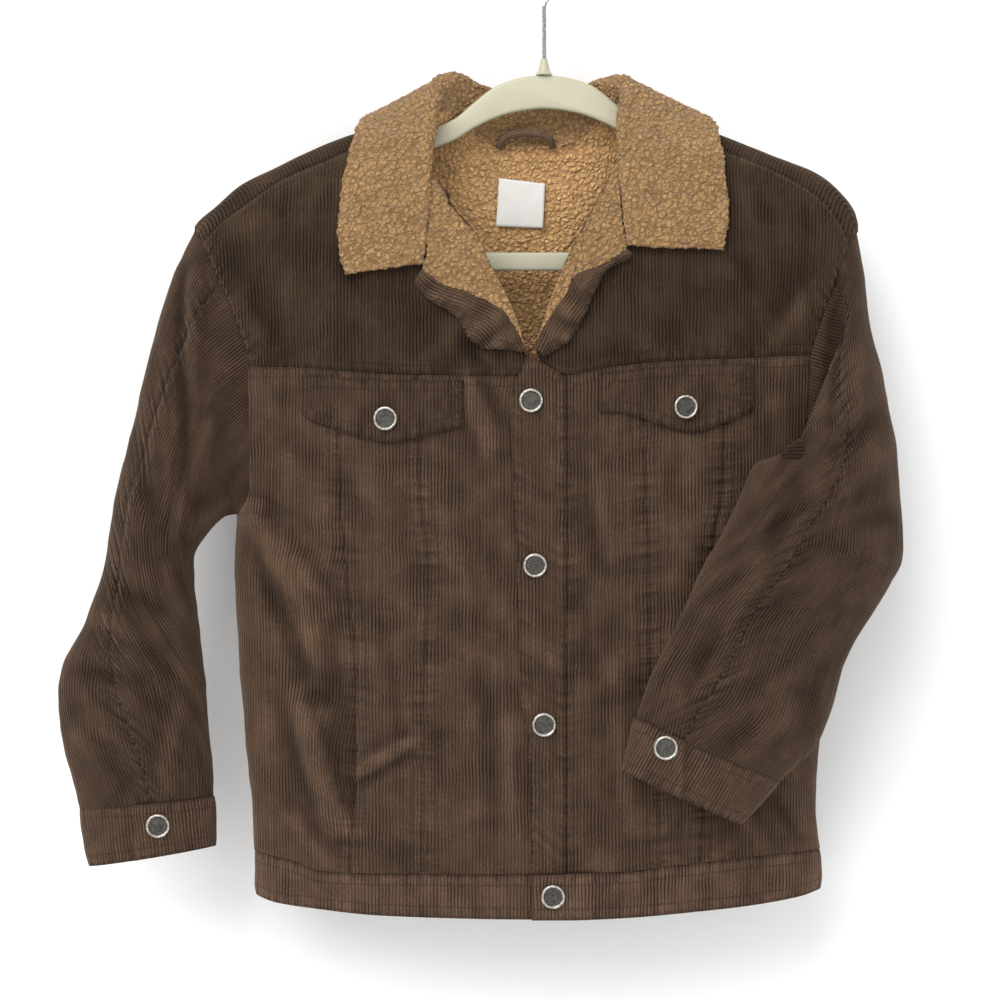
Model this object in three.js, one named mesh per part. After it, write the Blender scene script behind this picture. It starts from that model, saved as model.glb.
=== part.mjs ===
import * as THREE from 'three';

// A child's corduroy trucker jacket with a sherpa collar and lining, hung on a flat clothes hanger.
// Millimetres, +Z up, seen from the front along +Y, so "left" and "right" are the viewer's.
// Heights are given as drops below the inside top of the hanger's hook, which is the origin.

const SEAM_GAP = 0.3;
const LAY_GAP = 0.6;
const LINING_GAP = 0.9;
const LINING_SLACK = 6;
const CORDUROY = 2;
const BAND = 4;
const SHERPA = 4;
const COLLAR_BACKING = 1.5;
const LOOP_THICK = 4;
const LABEL_THICK = 1;
const SNAP_RADIUS = 8.5;
const HANGER_THICK = 6;
const WIRE_RADIUS = 1.6;
const CELL = 21;

const COLOURS = {
  corduroy: { color: 0x544338, roughness: 0.95, metalness: 0 },
  sherpa: { color: 0x9b7954, roughness: 1, metalness: 0 },
  label: { color: 0xe9e7e2, roughness: 0.7, metalness: 0 },
  snap: { color: 0x8d8b86, roughness: 0.35, metalness: 1 },
  hanger: { color: 0xd9d4b6, roughness: 0.5, metalness: 0 },
  wire: { color: 0xb9babc, roughness: 0.25, metalness: 1 },
};

// The body as rounded rings: side edges and front and back depths at each drop. Above the shoulder
// tips the edges are the shoulder line, and from there to the underarm they lie past the armholes.
const BODY = [
  { drop: 112, left: -84, right: 70, front: 14, back: 16 },
  { drop: 118, left: -108, right: 97, front: 17, back: 19 },
  { drop: 126, left: -135, right: 122, front: 20, back: 22 },
  { drop: 142, left: -174, right: 163, front: 26, back: 26 },
  { drop: 152, left: -194, right: 189, front: 29, back: 29 },
  { drop: 162, left: -214, right: 203, front: 32, back: 31 },
  { drop: 178, left: -232, right: 217, front: 36, back: 34 },
  { drop: 192, left: -247, right: 222, front: 38, back: 36 },
  { drop: 217, left: -245, right: 220, front: 42, back: 39 },
  { drop: 237, left: -240, right: 216, front: 44, back: 41 },
  { drop: 268, left: -231, right: 209, front: 47, back: 43 },
  { drop: 292, left: -226, right: 204, front: 48, back: 44 },
  { drop: 348, left: -222, right: 199, front: 50, back: 46 },
  { drop: 391, left: -216, right: 196, front: 50, back: 46 },
  { drop: 424, left: -217.4, right: 196, front: 50, back: 46 },
  { drop: 480, left: -215.3, right: 196, front: 49, back: 45 },
  { drop: 526, left: -211.8, right: 195.5, front: 48, back: 44 },
  { drop: 573, left: -207.7, right: 191.5, front: 47, back: 43 },
  { drop: 600, left: -205, right: 190.4, front: 46, back: 42 },
  { drop: 640, left: -203.5, right: 195, front: 44, back: 41 },
  { drop: 680, left: -203, right: 195, front: 43, back: 40 },
];
const ROUNDNESS = 0.87;
const SIDE_SEAM_TURN = 0.002;

// How far each armhole seam lies inside the ring's side edge. It closes at the shoulder tip and
// under the arm.
const ARMHOLE = [
  { drop: 192, inset: 0 },
  { drop: 197, inset: 3.5 },
  { drop: 204, inset: 7.5 },
  { drop: 214, inset: 11 },
  { drop: 230, inset: 14.5 },
  { drop: 247, inset: 17 },
  { drop: 279, inset: 20 },
  { drop: 292.5, inset: 19.5 },
  { drop: 310, inset: 18.5 },
  { drop: 346, inset: 17 },
  { drop: 378, inset: 11 },
  { drop: 388, inset: 5.5 },
  { drop: 393, inset: 0 },
];
const ARMHOLE_GAP = 1;

// Level seams, as the drop at each place across the body.
const FRONT_YOKE_SEAM = [
  { x: -240, drop: 289.9 },
  { x: -185, drop: 290.6 },
  { x: -96, drop: 296.6 },
  { x: 8, drop: 297.6 },
  { x: 50, drop: 290.6 },
  { x: 100, drop: 286.4 },
  { x: 133, drop: 285 },
  { x: 220, drop: 280.5 },
];
const FRONT_HEM_SEAM = [
  { x: -204, drop: 628 },
  { x: -177, drop: 633.5 },
  { x: -150, drop: 641 },
  { x: -110, drop: 641.6 },
  { x: -14, drop: 641.4 },
  { x: 55, drop: 639.7 },
  { x: 89, drop: 636 },
  { x: 139, drop: 630.7 },
  { x: 195, drop: 627 },
];
const FRONT_HEM = [
  { x: -204, drop: 659 },
  { x: -188, drop: 663.5 },
  { x: -161, drop: 666.6 },
  { x: -113, drop: 670.7 },
  { x: -8, drop: 672.8 },
  { x: 27, drop: 672.8 },
  { x: 122, drop: 666.5 },
  { x: 177, drop: 659.5 },
  { x: 195, drop: 655 },
];
const BACK_YOKE_SEAM = [
  { x: -240, drop: 262 },
  { x: -10, drop: 270 },
  { x: 220, drop: 260 },
];
const BACK_HEM_SEAM = [
  { x: -204, drop: 628 },
  { x: -110, drop: 637 },
  { x: -10, drop: 640 },
  { x: 100, drop: 635 },
  { x: 195, drop: 627 },
];
const BACK_HEM = [
  { x: -204, drop: 659 },
  { x: -110, drop: 668 },
  { x: -10, drop: 670 },
  { x: 100, drop: 665 },
  { x: 195, drop: 655 },
];

// Upright seams, as the place across the body at each drop.
const UPRIGHT_SEAMS = {
  leftOuter: [
    { drop: 292, x: -143.5 },
    { drop: 387, x: -140.8 },
    { drop: 444, x: -135.4 },
    { drop: 500, x: -130.5 },
    { drop: 564, x: -130.8 },
    { drop: 645, x: -134.6 },
  ],
  leftInner: [
    { drop: 292, x: -88 },
    { drop: 341, x: -87 },
    { drop: 380, x: -85.6 },
    { drop: 430, x: -80 },
    { drop: 472, x: -81.4 },
    { drop: 520, x: -83.5 },
    { drop: 645, x: -83.5 },
  ],
  placketEdge: [
    { drop: 283, x: -11.7 },
    { drop: 294, x: -16.6 },
    { drop: 304, x: -21 },
    { drop: 323, x: -23.5 },
    { drop: 380, x: -20.7 },
    { drop: 454, x: -18 },
    { drop: 513, x: -17 },
    { drop: 560, x: -10.4 },
    { drop: 645, x: -8.4 },
  ],
  placketSeam: [
    { drop: 283, x: 12 },
    { drop: 645, x: 12 },
  ],
  underlap: [
    { drop: 283, x: 8 },
    { drop: 645, x: 8 },
  ],
  rightInner: [
    { drop: 285, x: 66 },
    { drop: 332, x: 67.6 },
    { drop: 424, x: 71.8 },
    { drop: 475, x: 72.5 },
    { drop: 582, x: 78 },
    { drop: 645, x: 80.5 },
  ],
  rightOuter: [
    { drop: 280, x: 125 },
    { drop: 380, x: 122.8 },
    { drop: 404, x: 118 },
    { drop: 480, x: 112 },
    { drop: 645, x: 107 },
  ],
  backLeft: [
    { drop: 262, x: -112 },
    { drop: 400, x: -92 },
    { drop: 645, x: -74 },
  ],
  backRight: [
    { drop: 262, x: 92 },
    { drop: 400, x: 72 },
    { drop: 645, x: 54 },
  ],
};

// Long soft folds in the hung cloth: a line across the body, its height out of the cloth (less
// than nothing for a trough), and how far it spreads to each side.
const BODY_FOLDS = [
  { side: 1, x1: -207, drop1: 391, x2: -154, drop2: 466, height: 5, spread: 11 },
  { side: 1, x1: -196, drop1: 415, x2: -160, drop2: 520, height: -4.5, spread: 12 },
  { side: 1, x1: -172, drop1: 518, x2: -144, drop2: 608, height: 4.5, spread: 11 },
  { side: 1, x1: -150, drop1: 470, x2: -133, drop2: 600, height: -3.5, spread: 10 },
  { side: 1, x1: -88, drop1: 548, x2: -134, drop2: 574, height: 3, spread: 9 },
  { side: 1, x1: -58, drop1: 296, x2: -36, drop2: 345, height: 3, spread: 10 },
  { side: 1, x1: 26, drop1: 330, x2: 40, drop2: 470, height: -2.5, spread: 14 },
  { side: 1, x1: 96, drop1: 350, x2: 88, drop2: 600, height: 3, spread: 16 },
  { side: 1, x1: 150, drop1: 420, x2: 176, drop2: 610, height: 3.5, spread: 13 },
  { side: 1, x1: -216, drop1: 215, x2: -178, drop2: 285, height: -3, spread: 14 },
  { side: 1, x1: 190, drop1: 215, x2: 140, drop2: 275, height: -3, spread: 14 },
  { side: -1, x1: -196, drop1: 380, x2: -120, drop2: 470, height: 4.5, spread: 13 },
  { side: -1, x1: -170, drop1: 470, x2: -130, drop2: 610, height: -4, spread: 15 },
  { side: -1, x1: 180, drop1: 385, x2: 110, drop2: 480, height: 4.5, spread: 13 },
  { side: -1, x1: 150, drop1: 490, x2: 118, drop2: 620, height: 3.5, spread: 14 },
  { side: -1, x1: -30, drop1: 330, x2: -14, drop2: 600, height: 3, spread: 18 },
];

// Sleeve rings from the armhole seam down to the cuff: the ends of each ring's long axis (the outer
// edge and the inner edge), its half depths, how far its front half swells across, and how far the
// ring's own seams have turned round it.
const SLEEVES = {
  left: {
    swellWay: 1,
    rings: [
      { outX: -262, outDrop: 229, outY: -2, inX: -219.6, inDrop: 393.5, inY: -2, front: 25, back: 24,
        swell: 12, turn: 0 },
      { outX: -276, outDrop: 277, outY: -3, inX: -226, inDrop: 396, inY: -4, front: 28, back: 26,
        swell: 6, turn: 0 },
      { outX: -288.4, outDrop: 328, outY: -4, inX: -236, inDrop: 406, inY: -6, front: 29, back: 27,
        swell: 2, turn: 0 },
      { outX: -299, outDrop: 372, outY: -5, inX: -245, inDrop: 421, inY: -8, front: 29, back: 27,
        swell: 0, turn: 0 },
      { outX: -305, outDrop: 408, outY: -6, inX: -245, inDrop: 437, inY: -9, front: 29, back: 27,
        swell: 0, turn: 0 },
      { outX: -311, outDrop: 440, outY: -8, inX: -243.5, inDrop: 456, inY: -11, front: 28, back: 26,
        swell: 0, turn: 2 },
      { outX: -322, outDrop: 469, outY: -10, inX: -241, inDrop: 476, inY: -13, front: 27, back: 25,
        swell: 0, turn: 12 },
      { outX: -334, outDrop: 493, outY: -12, inX: -239, inDrop: 497, inY: -15, front: 26, back: 24,
        swell: 0, turn: 22 },
      { outX: -340, outDrop: 516, outY: -14, inX: -236.5, inDrop: 520, inY: -17, front: 25, back: 24,
        swell: 0, turn: 32 },
      { outX: -338, outDrop: 545, outY: -16, inX: -233, inDrop: 550, inY: -19, front: 25, back: 23,
        swell: 0, turn: 40 },
      { outX: -331, outDrop: 573, outY: -17, inX: -231, inDrop: 572, inY: -20, front: 24, back: 22,
        swell: 0, turn: 44 },
      { outX: -324, outDrop: 598, outY: -18, inX: -230.5, inDrop: 590, inY: -21, front: 22, back: 21,
        swell: 0, turn: 46 },
    ],
    cuff: [
      { outX: -324.5, outDrop: 599, outY: -18, inX: -230, inDrop: 591, inY: -21, front: 22.5, back: 21.5,
        swell: 0, turn: 0 },
      { outX: -322, outDrop: 618, outY: -19, inX: -229, inDrop: 607, inY: -22, front: 22.5, back: 21.5,
        swell: 0, turn: 0 },
      { outX: -318, outDrop: 638, outY: -20, inX: -229, inDrop: 623, inY: -23, front: 21.5, back: 20.5,
        swell: 0, turn: 0 },
    ],
    upperEnds: [50, 250],
  },
  right: {
    swellWay: -1,
    rings: [
      { outX: 224, outDrop: 219, outY: 0, inX: 203, inDrop: 394.5, inY: -5, front: 25, back: 23,
        swell: 13, turn: 0 },
      { outX: 228, outDrop: 257, outY: -6, inX: 202, inDrop: 386, inY: -36, front: 28, back: 18,
        swell: 28, turn: 4 },
      { outX: 235, outDrop: 298, outY: -19, inX: 170, inDrop: 366, inY: -60, front: 28, back: 14,
        swell: 25, turn: 12 },
      { outX: 242, outDrop: 335, outY: -20, inX: 147, inDrop: 356, inY: -62, front: 26, back: 18,
        swell: 6, turn: 26 },
      { outX: 246, outDrop: 367, outY: -20, inX: 133, inDrop: 382, inY: -67, front: 25, back: 18,
        swell: 0, turn: 40 },
      { outX: 248.5, outDrop: 400, outY: -23, inX: 119, inDrop: 409, inY: -69, front: 24, back: 18,
        swell: 0, turn: 50 },
      { outX: 247.5, outDrop: 426, outY: -26, inX: 111, inDrop: 422, inY: -70, front: 24, back: 18,
        swell: 0, turn: 54 },
      { outX: 235, outDrop: 448, outY: -30, inX: 107, inDrop: 430, inY: -71, front: 24, back: 18,
        swell: 0, turn: 56 },
      { outX: 219, outDrop: 473, outY: -36, inX: 102, inDrop: 440, inY: -71, front: 23, back: 17,
        swell: 0, turn: 58 },
      { outX: 206, outDrop: 499, outY: -40, inX: 97, inDrop: 452, inY: -71, front: 23, back: 17,
        swell: 0, turn: 60 },
      { outX: 197, outDrop: 529, outY: -43, inX: 87.6, inDrop: 473, inY: -71, front: 22, back: 17,
        swell: 0, turn: 61 },
      { outX: 186, outDrop: 554, outY: -46, inX: 76, inDrop: 495, inY: -71, front: 22, back: 17,
        swell: 0, turn: 62 },
      { outX: 172, outDrop: 567, outY: -49, inX: 68, inDrop: 513, inY: -70, front: 21, back: 17,
        swell: 0, turn: 62 },
      { outX: 160.8, outDrop: 577, outY: -51, inX: 61.4, inDrop: 532, inY: -69, front: 20, back: 17,
        swell: 0, turn: 62 },
    ],
    cuff: [
      { outX: 161, outDrop: 578.2, outY: -51, inX: 60.6, inDrop: 533, inY: -69, front: 20.5, back: 17.5,
        swell: 0, turn: 0 },
      { outX: 149, outDrop: 592, outY: -53, inX: 57, inDrop: 550, inY: -68.5, front: 20, back: 17.5,
        swell: 0, turn: 0 },
      { outX: 135.5, outDrop: 606, outY: -55, inX: 53, inDrop: 568, inY: -68, front: 19, back: 17,
        swell: 0, turn: 0 },
    ],
    upperEnds: [43, 272],
  },
};

// The collar from its front left end, round the back of the neck, to its front right end. Each
// station gives the neck seam, the roll line at the top of the fold, the free edge, and the fold's
// radius.
const COLLAR = [
  { seamX: -90, seamY: -41.5, seamDrop: 219, rollX: -84, rollY: -45, rollDrop: 219, edgeX: -138,
    edgeY: -43, edgeDrop: 227, radius: 3.6 },
  { seamX: -88, seamY: -36, seamDrop: 178, rollX: -80, rollY: -40, rollDrop: 178, edgeX: -143,
    edgeY: -42, edgeDrop: 207, radius: 4.2 },
  { seamX: -84, seamY: -29, seamDrop: 150, rollX: -79, rollY: -35, rollDrop: 150, edgeX: -142,
    edgeY: -37, edgeDrop: 178, radius: 5 },
  { seamX: -78, seamY: -17, seamDrop: 127, rollX: -77, rollY: -24, rollDrop: 118, edgeX: -137,
    edgeY: -28, edgeDrop: 146, radius: 6 },
  { seamX: -73, seamY: -2, seamDrop: 111, rollX: -74, rollY: -7, rollDrop: 93, edgeX: -125, edgeY: 1,
    edgeDrop: 113, radius: 7 },
  { seamX: -58, seamY: 11, seamDrop: 118, rollX: -62, rollY: 10, rollDrop: 82, edgeX: -103, edgeY: 30,
    edgeDrop: 118, radius: 7.5 },
  { seamX: -36, seamY: 17, seamDrop: 132, rollX: -38, rollY: 24, rollDrop: 91, edgeX: -64, edgeY: 42,
    edgeDrop: 146, radius: 7.5 },
  { seamX: -10, seamY: 18, seamDrop: 135, rollX: -8, rollY: 30, rollDrop: 96, edgeX: -8, edgeY: 45,
    edgeDrop: 158, radius: 7.5 },
  { seamX: 17, seamY: 17, seamDrop: 132, rollX: 22, rollY: 25, rollDrop: 92, edgeX: 48, edgeY: 42,
    edgeDrop: 146, radius: 7.5 },
  { seamX: 40, seamY: 11, seamDrop: 117, rollX: 44, rollY: 11, rollDrop: 85, edgeX: 92, edgeY: 30,
    edgeDrop: 118, radius: 7.5 },
  { seamX: 59, seamY: -2, seamDrop: 104, rollX: 55, rollY: -7, rollDrop: 91, edgeX: 116, edgeY: 1,
    edgeDrop: 114, radius: 7 },
  { seamX: 55, seamY: -17, seamDrop: 126, rollX: 52, rollY: -24, rollDrop: 118, edgeX: 124, edgeY: -27,
    edgeDrop: 142, radius: 6 },
  { seamX: 57, seamY: -29, seamDrop: 150, rollX: 52, rollY: -35, rollDrop: 150, edgeX: 126, edgeY: -35,
    edgeDrop: 166, radius: 5 },
  { seamX: 61, seamY: -36, seamDrop: 178, rollX: 54, rollY: -40, rollDrop: 178, edgeX: 127, edgeY: -40,
    edgeDrop: 188, radius: 4.2 },
  { seamX: 63, seamY: -41, seamDrop: 207, rollX: 57, rollY: -44.5, rollDrop: 207, edgeX: 123, edgeY: -42,
    edgeDrop: 210, radius: 3.6 },
];

// Reads a table's column anywhere between its rows, on a smooth line that never overshoots them.
function read(rows, key, at, column) {
  const last = rows.length - 1;
  if (at <= rows[0][key]) return rows[0][column];
  if (at >= rows[last][key]) return rows[last][column];
  let row = 0;
  while (at > rows[row + 1][key]) row += 1;
  const rise = (i) => (rows[i + 1][column] - rows[i][column]) / (rows[i + 1][key] - rows[i][key]);
  const slope = (i) => {
    if (i === 0) return rise(0);
    if (i === last) return rise(last - 1);
    const [before, after] = [rise(i - 1), rise(i)];
    return before * after <= 0 ? 0 : (2 * before * after) / (before + after);
  };
  const step = rows[row + 1][key] - rows[row][key];
  const t = (at - rows[row][key]) / step;
  const [start, end] = [rows[row][column], rows[row + 1][column]];
  return (
    start * (1 + 2 * t) * (1 - t) ** 2 +
    slope(row) * step * t * (1 - t) ** 2 +
    end * t * t * (3 - 2 * t) +
    slope(row + 1) * step * t * t * (t - 1)
  );
}

const mix = (a, b, t) => a + (b - a) * t;
const clamp = THREE.MathUtils.clamp;

// The shoulder line's drop at a place across the body.
function ridge(x) {
  const side = x < -10 ? 'left' : 'right';
  const shoulder = BODY.filter((row) => row.drop <= 192);
  if (side === 'left') return read(shoulder.toReversed(), 'left', x, 'drop');
  return read(shoulder, 'right', x, 'drop');
}

function foldHeight(side, x, drop) {
  let height = 0;
  for (const fold of BODY_FOLDS) {
    if (fold.side !== side) continue;
    const along = [fold.x2 - fold.x1, fold.drop2 - fold.drop1];
    const length = Math.hypot(...along);
    const from = [x - fold.x1, drop - fold.drop1];
    const t = (from[0] * along[0] + from[1] * along[1]) / length ** 2;
    const away = (from[0] * along[1] - from[1] * along[0]) / length / fold.spread;
    const past = (Math.max(0, -t, t - 1) * length) / fold.spread;
    const swell = Math.sin(clamp(0.15 + 0.7 * t, 0, 1) * Math.PI);
    height += fold.height * swell * Math.exp(-away * away - past * past);
  }
  return height;
}

// A point of the body's outer face. A turn of 0 is the left side edge, half pi the front, pi the
// right side edge and one and a half pi the back.
function ringPoint(turn, drop) {
  const left = read(BODY, 'drop', drop, 'left');
  const right = read(BODY, 'drop', drop, 'right');
  const [c, s] = [Math.cos(turn), Math.sin(turn)];
  const x = (left + right) / 2 - ((right - left) / 2) * Math.sign(c) * Math.abs(c) ** ROUNDNESS;
  const side = Math.sign(s);
  const depth = read(BODY, 'drop', drop, s > 0 ? 'front' : 'back') * Math.abs(s) ** ROUNDNESS;
  return new THREE.Vector3(x, -side * (depth + foldHeight(side, x, drop) * Math.min(1, depth / 15)), -drop);
}

function turnAt(side, x, drop) {
  const left = read(BODY, 'drop', drop, 'left');
  const right = read(BODY, 'drop', drop, 'right');
  const c = clamp(((left + right) / 2 - x) / ((right - left) / 2), -1, 1);
  const turn = Math.acos(Math.sign(c) * Math.abs(c) ** (1 / ROUNDNESS));
  return side > 0 ? turn : 2 * Math.PI - turn;
}

// The same point moved out of the cloth.
function onBody(turn, drop, out) {
  const across = ringPoint(turn + 0.002, drop).sub(ringPoint(turn - 0.002, drop));
  const down = ringPoint(turn, drop + 0.1).sub(ringPoint(turn, drop - 0.1));
  return ringPoint(turn, drop).addScaledVector(down.cross(across).normalize(), out);
}

// The body's front face at a place, for what lies on it.
const frontFace = (x, drop, out) => onBody(turnAt(1, x, drop), drop, out);
const backFace = (x, drop, out) => onBody(turnAt(-1, x, drop), drop, out);

// Shoulders are laid out by the place across and the root of the drop below the shoulder line,
// which is more than nothing in front of the line and less behind it.
function onShoulder(x, root, out) {
  const drop = ridge(x) + root * root;
  return onBody(turnAt(root >= 0 ? 1 : -1, x, drop), drop, out);
}
const shoulderRoot = (side, x, drop) => side * Math.sqrt(Math.max(0, drop - ridge(x)));

// Closes a grid of outer points and a grid of inner points into one wall.
function wall(name, outer, inner, look, round = false) {
  const [rows, columns] = [outer.length, outer[0].length];
  const points = [...outer.flat(), ...inner.flat()];
  const at = (layer, i, j) => layer * rows * columns + i * columns + (j % columns);
  const faces = [];
  const quad = (a, b, c, d) => faces.push(a, b, c, a, c, d);
  const span = round ? columns : columns - 1;
  for (let i = 0; i < rows - 1; i += 1) {
    for (let j = 0; j < span; j += 1) {
      quad(at(0, i, j), at(0, i + 1, j), at(0, i + 1, j + 1), at(0, i, j + 1));
      quad(at(1, i, j), at(1, i, j + 1), at(1, i + 1, j + 1), at(1, i + 1, j));
    }
  }
  for (let j = 0; j < span; j += 1) {
    quad(at(0, 0, j), at(0, 0, j + 1), at(1, 0, j + 1), at(1, 0, j));
    quad(at(0, rows - 1, j), at(1, rows - 1, j), at(1, rows - 1, j + 1), at(0, rows - 1, j + 1));
  }
  for (let i = 0; i < rows - 1 && !round; i += 1) {
    quad(at(0, i, 0), at(1, i, 0), at(1, i + 1, 0), at(0, i + 1, 0));
    quad(at(0, i, span), at(0, i + 1, span), at(1, i + 1, span), at(1, i, span));
  }
  let volume = 0;
  for (let f = 0; f < faces.length; f += 3) {
    const [a, b, c] = faces.slice(f, f + 3).map((p) => points[p]);
    volume += a.dot(new THREE.Vector3().crossVectors(b, c));
  }
  if (volume < 0) faces.reverse();
  const geometry = new THREE.BufferGeometry().setFromPoints(points);
  geometry.setIndex(faces);
  geometry.computeVertexNormals();
  return piece(name, geometry, look);
}

const jacket = new THREE.Group();

function piece(name, geometry, look) {
  const mesh = new THREE.Mesh(geometry, new THREE.MeshStandardMaterial(COLOURS[look]));
  mesh.name = name;
  jacket.add(mesh);
  return mesh;
}

// A wall laid out in a chart of the body: the chart gives the two numbers at each step across and
// down, and the face turns them into a point moved out by a distance.
function laidWall(name, look, { rows, columns, chart, face, out = () => 0, thick }) {
  const grid = (extra) =>
    rows.map((v) =>
      columns.map((u) => {
        const [a, b] = chart(u, v);
        return face(a, b, out(a, b) + extra);
      }),
    );
  return wall(name, grid(0), grid(-thick), look);
}

const steps = (count) => Array.from({ length: count + 1 }, (_, i) => i / count);

// A front or back panel between two upright edges and two level seams. An upright edge is given by
// its turn at a drop, and the top and bottom by their drop at a place across.
function bodyPanel(name, { side, left, right, top, bottom, rows, columns, look = 'corduroy', out,
  thick = CORDUROY }) {
  const half = SEAM_GAP / 2;
  const meet = (edge, level, start) => {
    let drop = start;
    for (let i = 0; i < 6; i += 1) drop = level(ringPoint(edge(drop), drop).x);
    return drop;
  };
  const corners = [left, right].map((edge) => [
    meet(edge, top, 290) + half,
    meet(edge, bottom, 640) - half,
  ]);
  const chart = (u, v) => {
    const drops = corners.map(([high, low]) => mix(high, low, v));
    const turn = mix(left(drops[0]), right(drops[1]), u);
    const straight = mix(drops[0], drops[1], u);
    const place = ringPoint(turn, straight).x;
    const rise = top(place) + half - mix(corners[0][0], corners[1][0], u);
    const fall = bottom(place) - half - mix(corners[0][1], corners[1][1], u);
    return [turn, straight + rise * (1 - v) + fall * v];
  };
  return laidWall(name, look, { rows, columns, chart, face: onBody, out, thick });
}

const level = (rows) => (x) => read(rows, 'x', x, 'drop');
const seam = (rows, side, shift) => (drop) => turnAt(side, read(rows, 'drop', drop, 'x') + shift, drop);
const rowsBetween = (from, to) => steps(Math.round((to - from) / CELL));

// The armhole's turn on the body, with the side seam below it.
function armhole(side, hand) {
  return (drop) => {
    const inset = drop < 393 ? read(ARMHOLE, 'drop', Math.max(drop, 192), 'inset') : 0;
    const edge = read(BODY, 'drop', drop, hand);
    const turn = turnAt(side, hand === 'left' ? edge + inset : edge - inset, drop);
    const [low, high] = side > 0 ? [0, Math.PI] : [Math.PI, 2 * Math.PI];
    return clamp(turn, low + SIDE_SEAM_TURN, high - SIDE_SEAM_TURN);
  };
}

// Rows of the side panels: the armhole's own rows, then even ones to the hem band.
function sideRows(from, to) {
  const drops = ARMHOLE.map((row) => row.drop).filter((drop) => drop > from + 4 && drop <= 393);
  const even = steps(Math.round((to - 393) / CELL)).slice(1, -1).map((t) => mix(393, to, t));
  return [0, ...[...drops, ...even].map((drop) => (drop - from) / (to - from)), 1];
}

function frontPanels() {
  const top = level(FRONT_YOKE_SEAM);
  const bottom = level(FRONT_HEM_SEAM);
  const rows = rowsBetween(295, 640);
  const { leftOuter, leftInner, underlap, placketSeam, rightInner, rightOuter } = UPRIGHT_SEAMS;
  const half = SEAM_GAP / 2;
  const strips = [
    ['front_side_left', armhole(1, 'left'), seam(leftOuter, 1, -half), sideRows(289.9, 635), 7],
    ['front_middle_left', seam(leftOuter, 1, half), seam(leftInner, 1, -half), sideRows(289.9, 635), 4],
    ['front_centre_left', seam(leftInner, 1, half), seam(underlap, 1, 0), rows, 6],
    ['front_centre_right', seam(placketSeam, 1, half), seam(rightInner, 1, -half), rows, 4],
    ['front_middle_right', seam(rightInner, 1, half), seam(rightOuter, 1, -half), rows, 3],
    ['front_side_right', seam(rightOuter, 1, half), armhole(1, 'right'), sideRows(280.5, 635), 7],
  ];
  for (const [name, left, right, levels, across] of strips) {
    bodyPanel(name, { side: 1, left, right, top, bottom, rows: levels, columns: steps(across) });
  }
}

function backPanels() {
  const top = level(BACK_YOKE_SEAM);
  const bottom = level(BACK_HEM_SEAM);
  const { backLeft, backRight } = UPRIGHT_SEAMS;
  const half = SEAM_GAP / 2;
  const strips = [
    ['back_side_right', armhole(-1, 'right'), seam(backRight, -1, half), sideRows(260, 635), 6],
    ['back_centre', seam(backRight, -1, -half), seam(backLeft, -1, half), rowsBetween(266, 640), 7],
    ['back_side_left', seam(backLeft, -1, -half), armhole(-1, 'left'), sideRows(262, 635), 6],
  ];
  for (const [name, left, right, levels, across] of strips) {
    bodyPanel(name, { side: -1, left, right, top, bottom, rows: levels, columns: steps(across) });
  }
}

// The right front's button band lies over the left front's edge.
function placket() {
  const { placketEdge, placketSeam } = UPRIGHT_SEAMS;
  const top = (x) => mix(284, 300, clamp((x + 12) / 24, 0, 1));
  bodyPanel('placket', {
    side: 1,
    left: seam(placketEdge, 1, 0),
    right: seam(placketSeam, 1, -SEAM_GAP / 2),
    top,
    bottom: level(FRONT_HEM_SEAM),
    rows: rowsBetween(290, 640),
    columns: steps(3),
    out: () => CORDUROY + LAY_GAP,
  });
}

// The doubled band at the hem. The right front's end lies over the left one's, as the placket does.
function hemBands() {
  const below = (edge) => (x) => edge(x) + SEAM_GAP;
  const lap = (turn, drop) => {
    const x = ringPoint(turn, drop).x;
    return (BAND + LAY_GAP) * THREE.MathUtils.smoothstep(48 - x, 0, 32);
  };
  const common = { rows: steps(2), thick: BAND };
  const front = { ...common, side: 1, top: below(level(FRONT_HEM_SEAM)), bottom: level(FRONT_HEM) };
  bodyPanel('hem_band_left', {
    ...front,
    left: () => SIDE_SEAM_TURN,
    right: (drop) => turnAt(1, 6, drop),
    columns: steps(12),
  });
  bodyPanel('hem_band_right', {
    ...front,
    left: (drop) => turnAt(1, -8.7, drop),
    right: () => Math.PI - SIDE_SEAM_TURN,
    columns: steps(13),
    out: lap,
  });
  bodyPanel('hem_band_back', {
    ...common,
    side: -1,
    left: () => Math.PI + SIDE_SEAM_TURN,
    right: () => 2 * Math.PI - SIDE_SEAM_TURN,
    top: below(level(BACK_HEM_SEAM)),
    bottom: level(BACK_HEM),
    columns: steps(18),
  });
}

// A smooth line through listed pairs, read from 0 to 1 by its length.
function line(pairs) {
  const curve = new THREE.CatmullRomCurve3(
    pairs.map(([a, b]) => new THREE.Vector3(a, b, 0)),
    false,
    'centripetal',
  );
  return (t) => {
    const p = curve.getPointAt(clamp(t, 0, 1));
    return [p.x, p.y];
  };
}

// Fills the space between four edges, each read from 0 to 1.
function patch({ top, bottom, left, right }) {
  const [tl, tr, bl, br] = [top(0), top(1), bottom(0), bottom(1)];
  return (u, v) =>
    [0, 1].map(
      (k) =>
        mix(top(u)[k], bottom(u)[k], v) +
        mix(left(v)[k], right(v)[k], u) -
        mix(mix(tl[k], tr[k], u), mix(bl[k], br[k], u), v),
    );
}

// Passes straight through listed pairs, one for each even step.
const through = (pairs) => (t) => {
  const at = clamp(t, 0, 1) * (pairs.length - 1);
  const k = Math.min(Math.floor(at), pairs.length - 2);
  return [0, 1].map((i) => mix(pairs[k][i], pairs[k + 1][i], at - k));
};

// Turns places and drops into the shoulder's chart.
const rooted = (side, pairs) => pairs.map(([x, drop]) => [x, shoulderRoot(side, x, drop)]);
const SHOULDER_STEPS = 8;

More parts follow.
